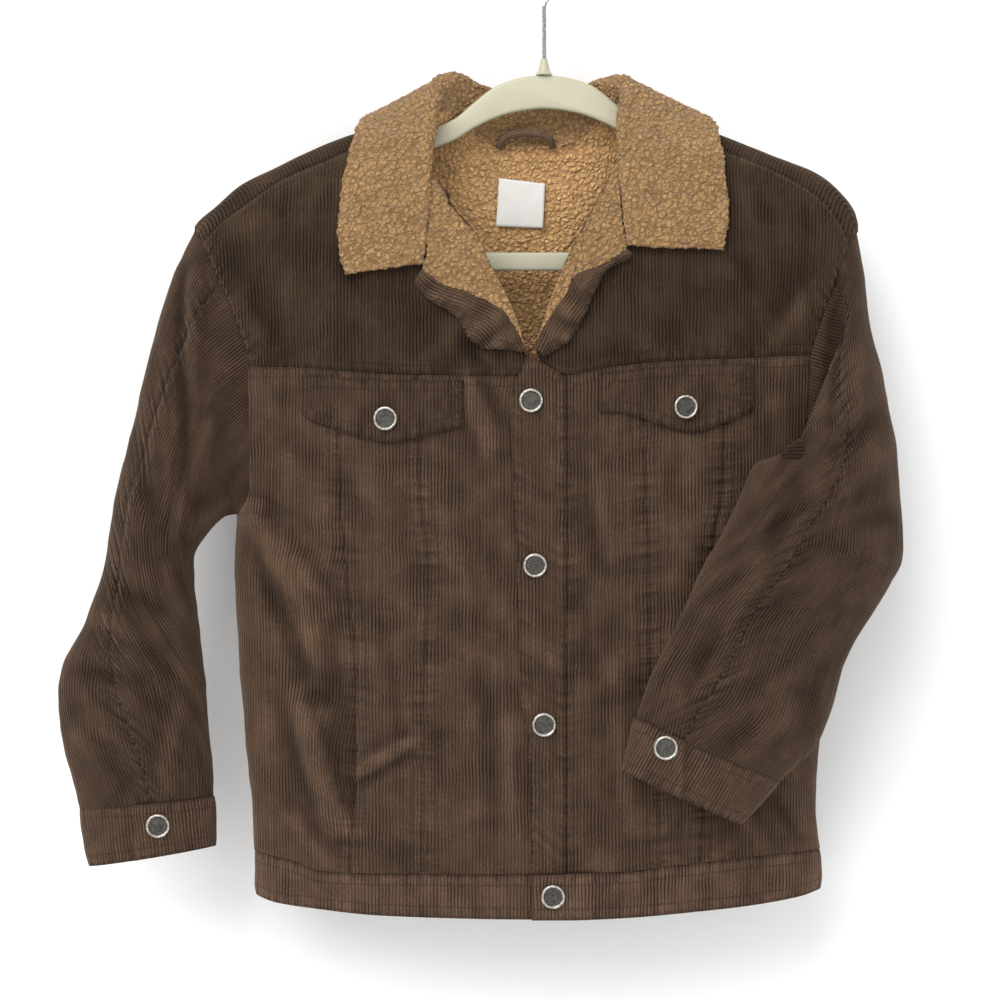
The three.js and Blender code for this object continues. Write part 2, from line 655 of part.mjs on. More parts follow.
// The forward shoulder seams, from the armholes to the neck.
const SHOULDER_SEAMS = {
  left: [[-239.6, 203.5], [-230, 192], [-202, 171], [-190, 162], [-160, 148], [-125, 134], [-90, 124]],
  right: [[213.9, 205.5], [209, 193], [196, 175], [180, 163], [150, 148], [110, 134], [75, 125]],
};

// A shoulder seam's points in the shoulder's chart, moved down by a distance.
function shoulderSeam(hand, by) {
  const seamLine = line(SHOULDER_SEAMS[hand]);
  return rooted(1, steps(SHOULDER_STEPS).map((t) => {
    const [x, drop] = seamLine(t);
    return [x, drop + by];
  }));
}

// The armhole between two drops, and a level seam between two places, in the same chart.
function armholeLine(side, hand, from, to, count) {
  const turn = armhole(side, hand);
  return rooted(side, steps(count).map((t) => {
    const drop = mix(from, to, t);
    return [ringPoint(turn(drop), drop).x, drop];
  }));
}
function seamAcross(side, from, to, rows, count) {
  return rooted(side, steps(count).map((t) => {
    const x = mix(from, to, t);
    return [x, level(rows)(x) - SEAM_GAP];
  }));
}

function frontYokes() {
  const rows = 9;
  const neck = {
    left: [[-90, 124], [-88, 150], [-84, 176], [-68, 194], [-53, 207], [-40, 226], [-30, 248], [-20,
      270], [-13, 283], [7.5, 297.4]],
    right: [[75, 125], [66, 146], [52, 172], [40, 190], [28, 206], [16, 226], [6, 246], [-2, 266], [-6.5,
      280], [12.3, 297.1]],
  };
  for (const [hand, low, flip] of [['left', 289.8, false], ['right', 281.5, true]]) {
    const top = shoulderSeam(hand, SEAM_GAP);
    const arm = armholeLine(1, hand, SHOULDER_SEAMS[hand][0][1] + SEAM_GAP, low, rows);
    arm[0] = top[0];
    const neckLine = line(rooted(1, neck[hand]));
    const opening = [top.at(-1), ...steps(rows).slice(1).map(neckLine)];
    const bottom = seamAcross(1, arm.at(-1)[0], neck[hand].at(-1)[0], FRONT_YOKE_SEAM, SHOULDER_STEPS);
    arm[rows] = bottom[0];
    opening[rows] = bottom.at(-1);
    const edges = { top: through(top), bottom: through(bottom), left: through(arm),
      right: through(opening) };
    laidWall(`front_yoke_${hand}`, 'corduroy', {
      rows: steps(rows),
      columns: flip ? steps(SHOULDER_STEPS).toReversed() : steps(SHOULDER_STEPS),
      chart: patch(edges),
      face: onShoulder,
      thick: CORDUROY,
    });
  }
}

// The back yoke comes over the shoulders to the forward seams.
function backYoke() {
  const neckBack = [[-87, 2], [-84, -0.8], [-72, -3.3], [-50, -4.5], [-28, -4.85], [-10, -4.95], [8,
    -4.85], [30, -4.4], [53, -3.3], [67, -0.8], [72, 2]];
  const top = [...shoulderSeam('left', -SEAM_GAP), ...neckBack, ...shoulderSeam('right',
    -SEAM_GAP).toReversed()];
  const ends = { left: 262.4, right: 260.2 };
  const low = Object.fromEntries(
    Object.entries(ends).map(([hand, drop]) => [hand, armholeLine(-1, hand, drop - 1, drop, 1)[1]]),
  );
  const bottom = seamAcross(-1, low.left[0], low.right[0], BACK_YOKE_SEAM, top.length - 1);
  const sideLine = (hand, first, last) => {
    const dense = [
      first,
      ...armholeLine(1, hand, 200, 194, 3),
      ...armholeLine(-1, hand, 194, ends[hand] - 2, 20),
      last,
    ].map(([x, root]) => ({ x, depth: -root }));
    return (t) => {
      const root = mix(first[1], last[1], t);
      return [read(dense, 'depth', -root, 'x'), root];
    };
  };
  laidWall('back_yoke', 'corduroy', {
    rows: steps(10),
    columns: steps(top.length - 1),
    chart: patch({
      top: through(top),
      bottom: through(bottom),
      left: sideLine('left', top[0], bottom[0]),
      right: sideLine('right', top.at(-1), bottom.at(-1)),
    }),
    face: onShoulder,
    thick: CORDUROY,
  });
}

// Points of one sleeve ring, one for each armhole point.
function ringOf(row, angles, way) {
  const out = new THREE.Vector3(row.outX, row.outY, -row.outDrop);
  const inn = new THREE.Vector3(row.inX, row.inY, -row.inDrop);
  const middle = out.clone().add(inn).multiplyScalar(0.5);
  const reach = out.clone().sub(inn).multiplyScalar(0.5);
  const axis = reach.clone().normalize();
  const forward = new THREE.Vector3(0, -1, 0);
  forward.addScaledVector(axis, -forward.dot(axis)).normalize();
  return angles.map((angle) => {
    const turned = angle + THREE.MathUtils.degToRad(row.turn);
    const [c, s] = [Math.cos(turned), Math.sin(turned)];
    const point = middle.clone().addScaledVector(reach, c);
    point.addScaledVector(forward, s > 0 ? s * row.front : s * row.back);
    point.x += way * row.swell * (s > 0 ? s * s : 0.5 * s * s);
    return point;
  });
}

// Moves each point of a tube inwards by the wall's thickness, square to the face round it.
function tubeInside(rings, thick) {
  const columns = rings[0].length;
  let facing = 0;
  const ways = rings.map((ring, k) => {
    const centre = ring.reduce((sum, p) => sum.add(p), new THREE.Vector3()).divideScalar(columns);
    return ring.map((point, j) => {
      const above = rings[Math.max(0, k - 1)][j];
      const below = rings[Math.min(rings.length - 1, k + 1)][j];
      const across = ring[(j + 1) % columns].clone().sub(ring[(j + columns - 1) % columns]);
      const way = below.clone().sub(above).cross(across).normalize();
      facing += way.dot(centre.clone().sub(point));
      return way;
    });
  });
  const inwards = Math.sign(facing) * thick;
  return rings.map((ring, k) => ring.map((point, j) => point.clone().addScaledVector(ways[k][j], inwards)));
}

// A sleeve's first ring is the armhole seam on the body, from the shoulder tip down the front and
// up the back.
function armholeRing(hand) {
  const drops = ARMHOLE.map((row) => row.drop);
  const front = drops.map((drop) => [1, drop]);
  const back = drops.slice(1, -1).map((drop) => [-1, drop]).toReversed();
  const away = (hand === 'left' ? -1 : 1) * ARMHOLE_GAP;
  const outer = [];
  const inner = [];
  for (const [side, drop] of [...front, ...back]) {
    const turn = armhole(side, hand)(drop);
    const shift = (point) => {
      point.x += away * (drop > 375 ? 3.5 : drop < 205 ? 2 : 1);
      if (drop > 375) point.z -= 2 * ARMHOLE_GAP;
      return point;
    };
    outer.push(shift(onBody(turn, drop, 0)));
    inner.push(shift(onBody(turn, drop, -CORDUROY)));
  }
  const span = drops.at(-1) - drops[0];
  const angle = (drop) => Math.acos(1 - (2 * (drop - drops[0])) / span);
  const angles = [
    ...front.map(([, drop]) => angle(drop)),
    ...back.map(([, drop]) => 2 * Math.PI - angle(drop)),
  ];
  return { outer, inner, angles };
}

function sleeve(hand) {
  const { swellWay, rings, cuff, upperEnds } = SLEEVES[hand];
  const start = armholeRing(hand);
  const outer = [start.outer, ...rings.map((row) => ringOf(row, start.angles, swellWay))];
  const inner = tubeInside(outer, CORDUROY);
  inner[0] = start.inner;
  const [from, to] = upperEnds.map((degrees) => {
    const angle = THREE.MathUtils.degToRad(degrees);
    return start.angles.findIndex((a) => a > angle);
  });
  const count = start.angles.length;
  const span = (first, last) => Array.from({ length: last - first + 1 }, (_, i) => (first + i) % count);
  const cut = (grid, columns) =>
    grid.map((ring) =>
      columns.map((j, i) => {
        const point = ring[j].clone();
        const next = i === 0 ? columns[1] : i === columns.length - 1 ? columns[i - 1] : j;
        return next === j ? point : point.lerp(ring[next], (0.8 * SEAM_GAP) / point.distanceTo(ring[next]));
      }),
    );
  const halves = [
    [`sleeve_front_${hand}`, span(from, to)],
    [`sleeve_back_${hand}`, span(to, from + count)],
  ];
  for (const [name, columns] of halves) wall(name, cut(outer, columns), cut(inner, columns), 'corduroy');
  const even = steps(24).slice(0, -1).map((t) => t * 2 * Math.PI);
  const tube = cuff.map((row) => ringOf(row, even, swellWay));
  wall(`cuff_${hand}`, tube, tubeInside(tube, CORDUROY + 1), 'corduroy', true);
}

// The collar's stations, filled in between on a smooth curve.
function collarStation(t) {
  const place = (prefix) => {
    const points = COLLAR.map((row) => new THREE.Vector3(row[`${prefix}X`], row[`${prefix}Y`],
      -row[`${prefix}Drop`]));
    return new THREE.CatmullRomCurve3(points, false, 'centripetal').getPoint(t);
  };
  const at = t * (COLLAR.length - 1);
  const row = Math.min(Math.floor(at), COLLAR.length - 2);
  const radius = mix(COLLAR[row].radius, COLLAR[row + 1].radius, at - row);
  return { neck: place('seam'), roll: place('roll'), edge: place('edge'), radius };
}

// The section of the collar: up the stand from the neck seam, over the roll, and down the fall.
function collarSection({ neck, roll, edge, radius }) {
  const toNeck = neck.clone().sub(roll).normalize();
  const toEdge = edge.clone().sub(roll).normalize();
  const up = toNeck.clone().add(toEdge).normalize().negate();
  const out = edge.clone().sub(neck);
  out.addScaledVector(up, -out.dot(up)).normalize();
  const centre = roll.clone().addScaledVector(up, -radius);
  const arc = [-90, -45, 0, 45, 90].map((degrees) => {
    const angle = THREE.MathUtils.degToRad(degrees);
    const point = centre.clone().addScaledVector(out, radius * Math.sin(angle));
    return point.addScaledVector(up, radius * Math.cos(angle));
  });
  const fall = [0.33, 0.67, 1].map((t) => arc[4].clone().lerp(edge, t));
  const inward = (point) => centre.clone().sub(point).normalize();
  const stand = edge.clone().sub(arc[4]).cross(out).normalize();
  const under = stand.clone().cross(edge.clone().sub(arc[4]).normalize());
  if (under.dot(out) > 0) under.negate();
  const standSide = out.clone().addScaledVector(toNeck, -out.dot(toNeck)).normalize();
  return {
    face: [neck, ...arc, ...fall],
    inward: [standSide, ...arc.map(inward), under, under, under],
  };
}

// Samples of the upper body's face, to keep the collar's fall clear of it.
const UPPER_BODY = steps(100).flatMap((u) =>
  steps(30).map((v) => {
    const [turn, drop] = [u * 2 * Math.PI, mix(113, 245, v * v)];
    const point = onBody(turn, drop, 0);
    return { point, way: onBody(turn, drop, 1).sub(point) };
  }),
);

function clearOfBody(point, least) {
  const near = UPPER_BODY.reduce((best, sample) => {
    return point.distanceToSquared(sample.point) < point.distanceToSquared(best.point) ? sample : best;
  });
  const height = point.clone().sub(near.point).dot(near.way);
  return height < least ? point.clone().addScaledVector(near.way, least - height) : point;
}

function collar() {
  const stations = steps(32).map((t) => collarSection(collarStation(t)));
  const depths = steps(32).map((t) => Math.min(SHERPA, collarStation(t).radius - 0.5));
  const backing = COLLAR_BACKING + SEAM_GAP;
  const layer = (from, depth) =>
    stations.map((section, k) =>
      section.face.slice(from).map((point, j) => {
        const moved = point.clone().addScaledVector(section.inward[from + j], depth(k));
        return from + j > 5 ? clearOfBody(moved, LAY_GAP + 0.3 + backing + depths[k] - depth(k)) : moved;
      }),
    );
  wall('collar', layer(0, () => 0), layer(0, (k) => depths[k]), 'sherpa');
  wall(
    'under_collar',
    layer(6, (k) => depths[k] + SEAM_GAP),
    layer(6, (k) => depths[k] + backing),
    'corduroy',
  );
}

// The tops of the fronts are turned back at the neck. What shows is the sherpa lining, and
// below it the corduroy facing of the front edge.
const TURNED = {
  left: {
    roll: [[-77.6, 158], [-59.3, 187], [-44.9, 203.6], [-37.3, 221.5], [-29, 236.7], [-22, 252.6],
      [-15.2, 272], [-12.3, 280]],
    gorge: [[-78.4, 157], [-79.4, 177], [-82.8, 219], [-85, 224.6]],
    join: [[-85, 224.6], [-70, 235], [-51, 241.6], [-36, 248.5], [-27, 255.4], [-18, 271], [-13.6, 279.6]],
    facingTop: [[-86.3, 225.6], [-70.6, 236.6], [-51.4, 243.2], [-37, 250], [-28.4, 257], [-19.6, 272],
      [-15.4, 281]],
    facingEnd: [[-89.7, 234.6], [-79.4, 245.7], [-63.5, 255.4], [-51, 270], [-41.4, 278.8], [-29, 279.6],
      [-21.4, 280.6], [-16.2, 282]],
  },
  right: {
    roll: [[49.6, 149], [31.7, 183.6], [21.4, 203.6], [12.4, 222], [4.8, 241.5], [-1.4, 260.9], [-8.6,
      277.4]],
    gorge: [[50.8, 148], [52.4, 176], [55.6, 206], [56.2, 210.5]],
    join: [[56.2, 210.5], [39, 221.5], [21.4, 228.4], [14.5, 241.6], [2.8, 258.8], [-7.4, 277.6]],
    facingTop: [[57.4, 211.6], [40, 223.2], [22.8, 230.2], [16, 242.8], [4.4, 260], [-5.8, 278.6]],
    facingEnd: [[60, 216], [42.8, 225], [35.9, 236.7], [25.5, 258.8], [15.2, 274.7], [-0.7, 284]],
  },
};

function turnedFronts() {
  for (const hand of ['left', 'right']) {
    const { roll, gorge, join, facingTop, facingEnd } = TURNED[hand];
    const lapel = patch({
      top: line([gorge[0], roll[0]]),
      bottom: line(join),
      left: line(gorge),
      right: line([...roll.slice(0, -1), join.at(-1)]),
    });
    laidWall(`lapel_lining_${hand}`, 'sherpa', {
      rows: steps(7), columns: steps(8), chart: lapel, face: frontFace, out: () => LAY_GAP + SHERPA,
        thick: SHERPA,
    });
    const strip = patch({
      top: line(facingTop),
      bottom: line(facingEnd),
      left: line([facingTop[0], facingEnd[0]]),
      right: line([facingTop.at(-1), facingEnd.at(-1)]),
    });
    laidWall(`front_facing_${hand}`, 'corduroy', {
      rows: steps(2), columns: steps(9), chart: strip, face: frontFace, out: () => LAY_GAP + CORDUROY,
        thick: CORDUROY,
    });
  }
}

// The sherpa lining, seen at the back of the neck and from below. It meets the shell at its upper
// and lower edges and hangs slack between them.
const inside = (high, low) => (a, drop) => {
  const slack = THREE.MathUtils.smoothstep(Math.min(drop - high, low - drop), 2, 45);
  return -CORDUROY - LINING_GAP - slack * LINING_SLACK;
};
const BACK_LINING = { high: 140, low: 630 };

function lining() {
  const panels = [
    ['lining_front_left', -186, -6],
    ['lining_front_right', 16, 172],
  ];
  for (const [name, from, to] of panels) {
    const chart = (u, v) => {
      const drop = mix(302, 626, v);
      return [turnAt(1, mix(from, to, u), drop), drop];
    };
    laidWall(name, 'sherpa', {
      rows: steps(11), columns: steps(6), chart, face: onBody, out: inside(302, 626), thick: SHERPA,
    });
  }
  const top = [[-150, 164], [-110, 160], [-84, 160], [-58, 144], [-34, 138.4], [-10, 138.2], [14, 138.4],
    [42, 140.5], [70, 148], [98, 155], [134, 164]];
  const back = patch({
    top: line(top),
    bottom: line([[-186, 624], [-10, 632], [176, 624]]),
    left: line([top[0], [-186, 250], [-186, 400], [-186, 624]]),
    right: line([top.at(-1), [168, 250], [172, 400], [176, 624]]),
  });
  laidWall('lining_back', 'sherpa', {
    rows: steps(13), columns: steps(12), chart: back, face: backFace, out: inside(BACK_LINING.high,
      BACK_LINING.low), thick: SHERPA,
  });
}

// A pocket flap lies on the front, below the yoke seam.
const FLAPS = {
  left: { x1: -167, x2: -56.6, top: [[-167, 296.6], [-112, 300.4], [-56.6, 301]], bottom: [[-167, 323.7],
    [-158, 328.6], [-121.4, 341], [-108.3, 343.4], [-95, 340.6], [-56.6, 332]] },
  right: { x1: 37.5, x2: 142.8, top: [[37.5, 295.4], [90, 290.6], [142.8, 288.6]], bottom: [[37.5, 322],
    [52, 322.6], [88, 334], [99, 336.6], [108, 335], [142.8, 321.6]] },
};

function pocketFlaps() {
  for (const hand of ['left', 'right']) {
    const { top, bottom } = FLAPS[hand];
    const chart = patch({
      top: line(top),
      bottom: line(bottom),
      left: line([top[0], bottom[0]]),
      right: line([top.at(-1), bottom.at(-1)]),
    });
    laidWall(`pocket_flap_${hand}`, 'corduroy', {
      rows: steps(3), columns: steps(10), chart, face: frontFace, out: () => LAY_GAP + CORDUROY + 0.5,
        thick: CORDUROY + 0.5,
    });
  }
}

// Snap caps: a domed rim round a sunk centre, turned to face out of the cloth.
function snapCap() {
  const profile = [
    [0, 0], [SNAP_RADIUS - 1, 0], [SNAP_RADIUS, 1], [SNAP_RADIUS - 0.5, 2.2], [SNAP_RADIUS - 1.6, 2.7],
    [SNAP_RADIUS - 2.7, 2], [0, 1.8],
  ];
  return new THREE.LatheGeometry(profile.map(([r, h]) => new THREE.Vector2(r, h)), 14);
}

function snap(name, seat, way) {
  const mesh = piece(name, snapCap(), 'snap');
  mesh.quaternion.setFromUnitVectors(new THREE.Vector3(0, 1, 0), way);
  mesh.position.copy(seat).addScaledVector(way, 0.4);
}

const BODY_SNAPS = [
  { name: 'snap_front_1', x: -9.7, drop: 314.7, out: CORDUROY + LAY_GAP },
  { name: 'snap_front_2', x: -6.9, drop: 427.9, out: CORDUROY + LAY_GAP },
  { name: 'snap_front_3', x: -0.7, drop: 537.6, out: CORDUROY + LAY_GAP },
  { name: 'snap_front_4', x: 5.5, drop: 656.2, out: BAND + LAY_GAP },
  { name: 'snap_pocket_left', x: -109.7, drop: 327, out: CORDUROY + LAY_GAP + 0.5 },
  { name: 'snap_pocket_right', x: 96.6, drop: 319, out: CORDUROY + LAY_GAP + 0.5 },
];
const CUFF_SNAPS = [
  { name: 'snap_cuff_left', hand: 'left', x: -267.7, drop: 608 },
  { name: 'snap_cuff_right', hand: 'right', x: 81.4, drop: 551.4 },
];

function snaps() {
  for (const { name, x, drop, out } of BODY_SNAPS) {
    const seat = frontFace(x, drop, out);
    snap(name, seat, frontFace(x, drop, out + 1).sub(seat).normalize());
  }
  for (const { name, hand, x, drop } of CUFF_SNAPS) {
    const row = SLEEVES[hand].cuff[1];
    const angles = steps(180).map((t) => t * Math.PI);
    const ring = ringOf(row, angles, 1);
    const nearest = ring.reduce((best, p) => (Math.abs(p.x - x) < Math.abs(best.x - x) ? p : best));
    const k = clamp(ring.indexOf(nearest), 1, ring.length - 2);
    const slope = ring[k + 1].clone().sub(ring[k - 1]).normalize();
    const way = new THREE.Vector3(0, -1, 0);
    way.addScaledVector(slope, -way.dot(slope)).normalize();
    const seat = nearest.clone();
    seat.z = -drop;
    snap(name, seat.addScaledVector(way, 0.3), way);
  }
}

// The corduroy hanging loop and the bare label, on the sherpa inside the back of the neck.
function neckTrims() {
  const depth = inside(BACK_LINING.high, BACK_LINING.low);
  const face = (x, drop) => backFace(x, drop, depth(x, drop) - SHERPA);
  const loopPath = [[-33.5, 139.6], [-31, 132.5], [-24, 127.8], [-13, 126.2], [-2, 128], [5.5, 132.6],
    [8.3, 138.6]];
  const lift = [0.6, 3.5, 5, 5.5, 5, 3.5, 0.6];
  const points = loopPath.map(([x, drop], i) => {
    const base = face(x, Math.max(drop, 139));
    return new THREE.Vector3(x, base.y - lift[i] - LOOP_THICK / 2, -drop);
  });
  const section = new THREE.Shape().absellipse(0, 0, LOOP_THICK / 2, LOOP_THICK / 2, 0, 2 * Math.PI);
  const loop = new THREE.ExtrudeGeometry(section, {
    steps: 18, curveSegments: 4, bevelEnabled: false, extrudePath: new THREE.CatmullRomCurve3(points),
  });
  piece('hanging_loop', loop, 'corduroy');
  const corners = [[-31.7, 161], [0.7, 165], [-0.7, 195.4], [-33.8, 194]];
  const label = patch({
    top: line([corners[0], corners[1]]),
    bottom: line([corners[3], corners[2]]),
    left: line([corners[0], corners[3]]),
    right: line([corners[1], corners[2]]),
  });
  laidWall('neck_label', 'label', {
    rows: steps(2),
    columns: steps(2),
    chart: label,
    face: (x, drop, out) => {
      const point = face(x, drop);
      point.y -= LAY_GAP + 0.8 + out;
      return point;
    },
    out: () => LABEL_THICK,
    thick: LABEL_THICK,
  });
}

// A flat hanger: a high neck band, arms that slope to their tips, and a lower bar.
const HANGER_TOP = [[0, 84.5], [18, 86.5], [34.5, 92.5], [51, 105], [61.8, 114.3], [75, 120.4], [95,
  128], [122, 137], [160, 152], [188, 164.5], [206, 175]];
const HANGER_TIP = [[213, 184], [214, 196], [206, 210], [196, 222]];
const HANGER_LOWER = [[0, 108], [16, 109.6], [30, 113], [47, 120.5], [63.5, 130.5], [78, 136], [110,
  149], [150, 165], [182, 179]];
const HANGER_CORNER = [[190, 184], [193, 192], [192, 201], [186, 209]];

function hanger() {
  const mirrored = (pairs) => pairs.map(([x, drop]) => [-x, drop]).toReversed();
  const loop = (arch, tip) => {
    const curve = new THREE.SplineCurve([...mirrored(arch.slice(1)), ...arch].map(([x,
      drop]) => new THREE.Vector2(x, -drop)));
    const ends = tip.map(([x, drop]) => new THREE.Vector2(x, -drop));
    const others = mirrored(tip).map(([x, drop]) => new THREE.Vector2(x, -drop));
    return [...curve.getPoints(50), ...ends, ...others];
  };
  const face = (y) =>
    [loop(HANGER_TOP, HANGER_TIP), loop(HANGER_LOWER, HANGER_CORNER)].map((points) =>
      points.map((p) => new THREE.Vector3(p.x, y, p.y)),
    );
  wall('hanger', face(-HANGER_THICK / 2), face(HANGER_THICK / 2), 'hanger', true);
  const collarProfile = [[0, 0], [6, 0], [4.2, 3], [2.8, 8], [2.4, 11], [0, 11]];
  const socket = new THREE.LatheGeometry(collarProfile.map(([r, h]) => new THREE.Vector2(r, h)), 20);
  socket.rotateX(Math.PI / 2);
  socket.translate(0, 0, -84.2);
  piece('hook_socket', socket, 'hanger');
}

// The steel hook: a straight stem, and above the photograph's edge a round loop open to the left.
function hook() {
  const radius = 19;
  const stem = [[0, -72.9], [0, -57], [0, -42], [0.3, -34.5], [4.5, -29.5]];
  const arc = steps(14).map((t) => {
    const angle = mix(-30, 205, t) * (Math.PI / 180);
    return [radius * Math.cos(angle), radius * Math.sin(angle) - radius + WIRE_RADIUS];
  });
  const path = new THREE.CatmullRomCurve3(
    [...stem, ...arc].map(([x, z]) => new THREE.Vector3(x, 0, z)),
    false,
    'centripetal',
  );
  const section = new THREE.Shape().absellipse(0, 0, WIRE_RADIUS, WIRE_RADIUS, 0, 2 * Math.PI);
  piece('hook', new THREE.ExtrudeGeometry(section, {
    steps: 44, curveSegments: 4, bevelEnabled: false, extrudePath: path,
  }), 'wire');
}

frontYokes();
backYoke();
frontPanels();
backPanels();
placket();
hemBands();
sleeve('left');
sleeve('right');
collar();
turnedFronts();
lining();
pocketFlaps();
snaps();
neckTrims();
hanger();
hook();

export default jacket;
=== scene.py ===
import math

import bmesh
import bpy
import numpy as np
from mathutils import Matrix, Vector, noise


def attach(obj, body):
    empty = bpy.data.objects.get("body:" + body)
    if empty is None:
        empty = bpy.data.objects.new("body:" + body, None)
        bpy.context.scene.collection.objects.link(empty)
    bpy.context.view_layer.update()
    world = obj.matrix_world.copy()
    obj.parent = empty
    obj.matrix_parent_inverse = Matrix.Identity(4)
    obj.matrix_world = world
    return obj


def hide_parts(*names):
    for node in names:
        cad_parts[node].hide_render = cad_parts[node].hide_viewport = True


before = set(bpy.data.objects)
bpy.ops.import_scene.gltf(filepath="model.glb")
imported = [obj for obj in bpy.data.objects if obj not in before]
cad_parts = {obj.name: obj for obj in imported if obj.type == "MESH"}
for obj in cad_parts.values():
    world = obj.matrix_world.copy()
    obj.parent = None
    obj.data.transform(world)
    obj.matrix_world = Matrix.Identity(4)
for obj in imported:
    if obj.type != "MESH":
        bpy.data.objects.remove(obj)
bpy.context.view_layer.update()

# Body panels. Brown needlecord, cut in nine upright pieces with the wales running down each
# one, joined by flat felled seams that pucker. The body hangs from the hanger as a flattened
# ring: its side edges and depths are given at drops, in millimetres, below the hook.
BODY = np.array([  # drop, left edge, right edge, front depth, back depth
    (112, -84, 70, 14, 16), (118, -108, 97, 17, 19), (126, -135, 122, 20, 22), (142, -174, 163, 26, 26),
    (152, -194, 189, 29, 29), (162, -214, 203, 32, 31), (178, -232, 217, 36, 34),
    (192, -247, 222, 38, 36), (217, -245, 220, 42, 39), (237, -240, 216, 44, 41),
    (268, -231, 209, 47, 43), (292, -226, 204, 48, 44), (348, -222, 199, 50, 46),
    (391, -216, 196, 50, 46), (424, -217.4, 196, 50, 46), (480, -215.3, 196, 49, 45),
    (526, -211.8, 195.5, 48, 44), (573, -207.7, 191.5, 47, 43), (600, -205, 190.4, 46, 42),
    (640, -203.5, 195, 44, 41), (680, -203, 195, 43, 40),
])
ROUNDNESS = 0.87
FOLDS = [  # side (1 front, -1 back), x and drop of one end, of the other, height, spread
    (1, -207, 391, -154, 466, 5, 11), (1, -196, 415, -160, 520, -4.5, 12),
    (1, -172, 518, -144, 608, 4.5, 11), (1, -150, 470, -133, 600, -3.5, 10),
    (1, -88, 548, -134, 574, 3, 9), (1, -58, 296, -36, 345, 3, 10), (1, 26, 330, 40, 470, -2.5, 14),
    (1, 96, 350, 88, 600, 3, 16), (1, 150, 420, 176, 610, 3.5, 13), (1, -216, 215, -178, 285, -3, 14),
    (1, 190, 215, 140, 275, -3, 14), (-1, -196, 380, -120, 470, 4.5, 13),
    (-1, -170, 470, -130, 610, -4, 15), (-1, 180, 385, 110, 480, 4.5, 13),
    (-1, 150, 490, 118, 620, 3.5, 14), (-1, -30, 330, -14, 600, 3, 18),
]
CREASES = [
    (1, -207, 391, -172, 446, 2.2, 5), (1, -200, 402, -150, 470, -2.4, 5), (1, -192, 424, -158, 500, 1.8, 5),
    (1, -172, 526, -147, 600, 2.2, 4.5), (1, -163, 520, -139, 596, -2.0, 5), (1, -89, 549, -130, 572, 1.6, 4),
    (1, -92, 556, -132, 580, -1.5, 4), (1, -58, 268, -45, 289, -1.8, 5), (1, -52, 300, -40, 352, 1.4, 5),
    (1, -45, 296, -30, 330, -1.2, 5), (1, -120, 375, -104, 430, 1.0, 8), (1, -112, 470, -96, 560, -1.2, 7),
    (1, -64, 400, -52, 470, 1.1, 8), (1, -44, 500, -34, 600, -1.2, 8), (1, 30, 345, 44, 420, 1.3, 7),
    (1, 22, 430, 34, 520, -1.1, 8), (1, 48, 500, 58, 610, 1.3, 7), (1, 92, 350, 86, 430, -1.0, 8),
    (1, 96, 560, 104, 628, 1.3, 6), (1, 128, 590, 150, 622, 1.2, 6), (1, 160, 590, 178, 622, -1.3, 6),
    (1, -160, 215, -120, 262, 1.0, 10), (1, 120, 205, 165, 250, -1.2, 10), (1, -225, 235, -190, 278, 1.3, 7),
    (1, 188, 232, 160, 276, 1.3, 7), (1, -28, 520, -22, 620, 1.0, 6), (1, -180, 600, -150, 634, 1.2, 6),
    (-1, -200, 380, -150, 440, 2.0, 6), (-1, -190, 400, -130, 470, -1.8, 7), (-1, 184, 384, 130, 446, 2.0, 6),
    (-1, 176, 410, 120, 480, -1.8, 7), (-1, -60, 500, -44, 620, 1.6, 8), (-1, 60, 440, 40, 560, -1.5, 8),
    (-1, -140, 560, -110, 630, 1.6, 7), (-1, 130, 560, 100, 630, 1.4, 7), (-1, -10, 290, 2, 400, 1.3, 9),
    (-1, -110, 200, -60, 240, -1.2, 10), (-1, 60, 190, 110, 240, 1.2, 10),
]
FOLD_STRENGTH = 1.5
SEAM_GAP = 0.3
LAY_GAP = 0.6
CORDUROY = 2.0
CELL = 3.2


def read(rows, at, key, column):
    """A column of a table anywhere between its rows, on a smooth line that never overshoots."""
    rows = np.asarray(rows, float)
    k, v = rows[:, key], rows[:, column]
    width = np.diff(k)
    rise = np.diff(v) / width
    slope = np.empty(len(k))
    slope[0], slope[-1] = rise[0], rise[-1]
    before, after = rise[:-1], rise[1:]
    same = before * after > 0
    slope[1:-1] = np.where(same, 2 * before * after / np.where(same, before + after, 1), 0)
    at = np.clip(at, k[0], k[-1])
    i = np.clip(np.searchsorted(k, at, side="right") - 1, 0, len(k) - 2)
    t = (at - k[i]) / width[i]
    ends = v[i] * (1 + 2 * t) * (1 - t) ** 2 + v[i + 1] * t * t * (3 - 2 * t)
    return ends + width[i] * (slope[i] * t * (1 - t) ** 2 + slope[i + 1] * t * t * (t - 1))


def mix(a, b, t):
    return a + (b - a) * t


def fold_at(fold, x, drop):
    """How far one fold lifts the cloth at given places: a ridge that fades beyond both its ends."""
    x1, drop1, x2, drop2, high, spread = fold
    across, down = x2 - x1, drop2 - drop1
    length = math.hypot(across, down)
    t = ((x - x1) * across + (drop - drop1) * down) / length**2
    away = ((x - x1) * down - (drop - drop1) * across) / length / spread
    past = np.maximum(0, np.maximum(-t, t - 1)) * length / spread
    return high * np.sin(np.clip(0.15 + 0.7 * t, 0, 1) * np.pi) * np.exp(-away * away - past * past)


def fold_height(side, x, drop):
    """All the folds of one side of the body together."""
    height = np.zeros(np.broadcast(x, drop).shape)
    for face, *fold in FOLDS + CREASES:
        if face == side:
            height += FOLD_STRENGTH * fold_at(fold, x, drop)
    return height


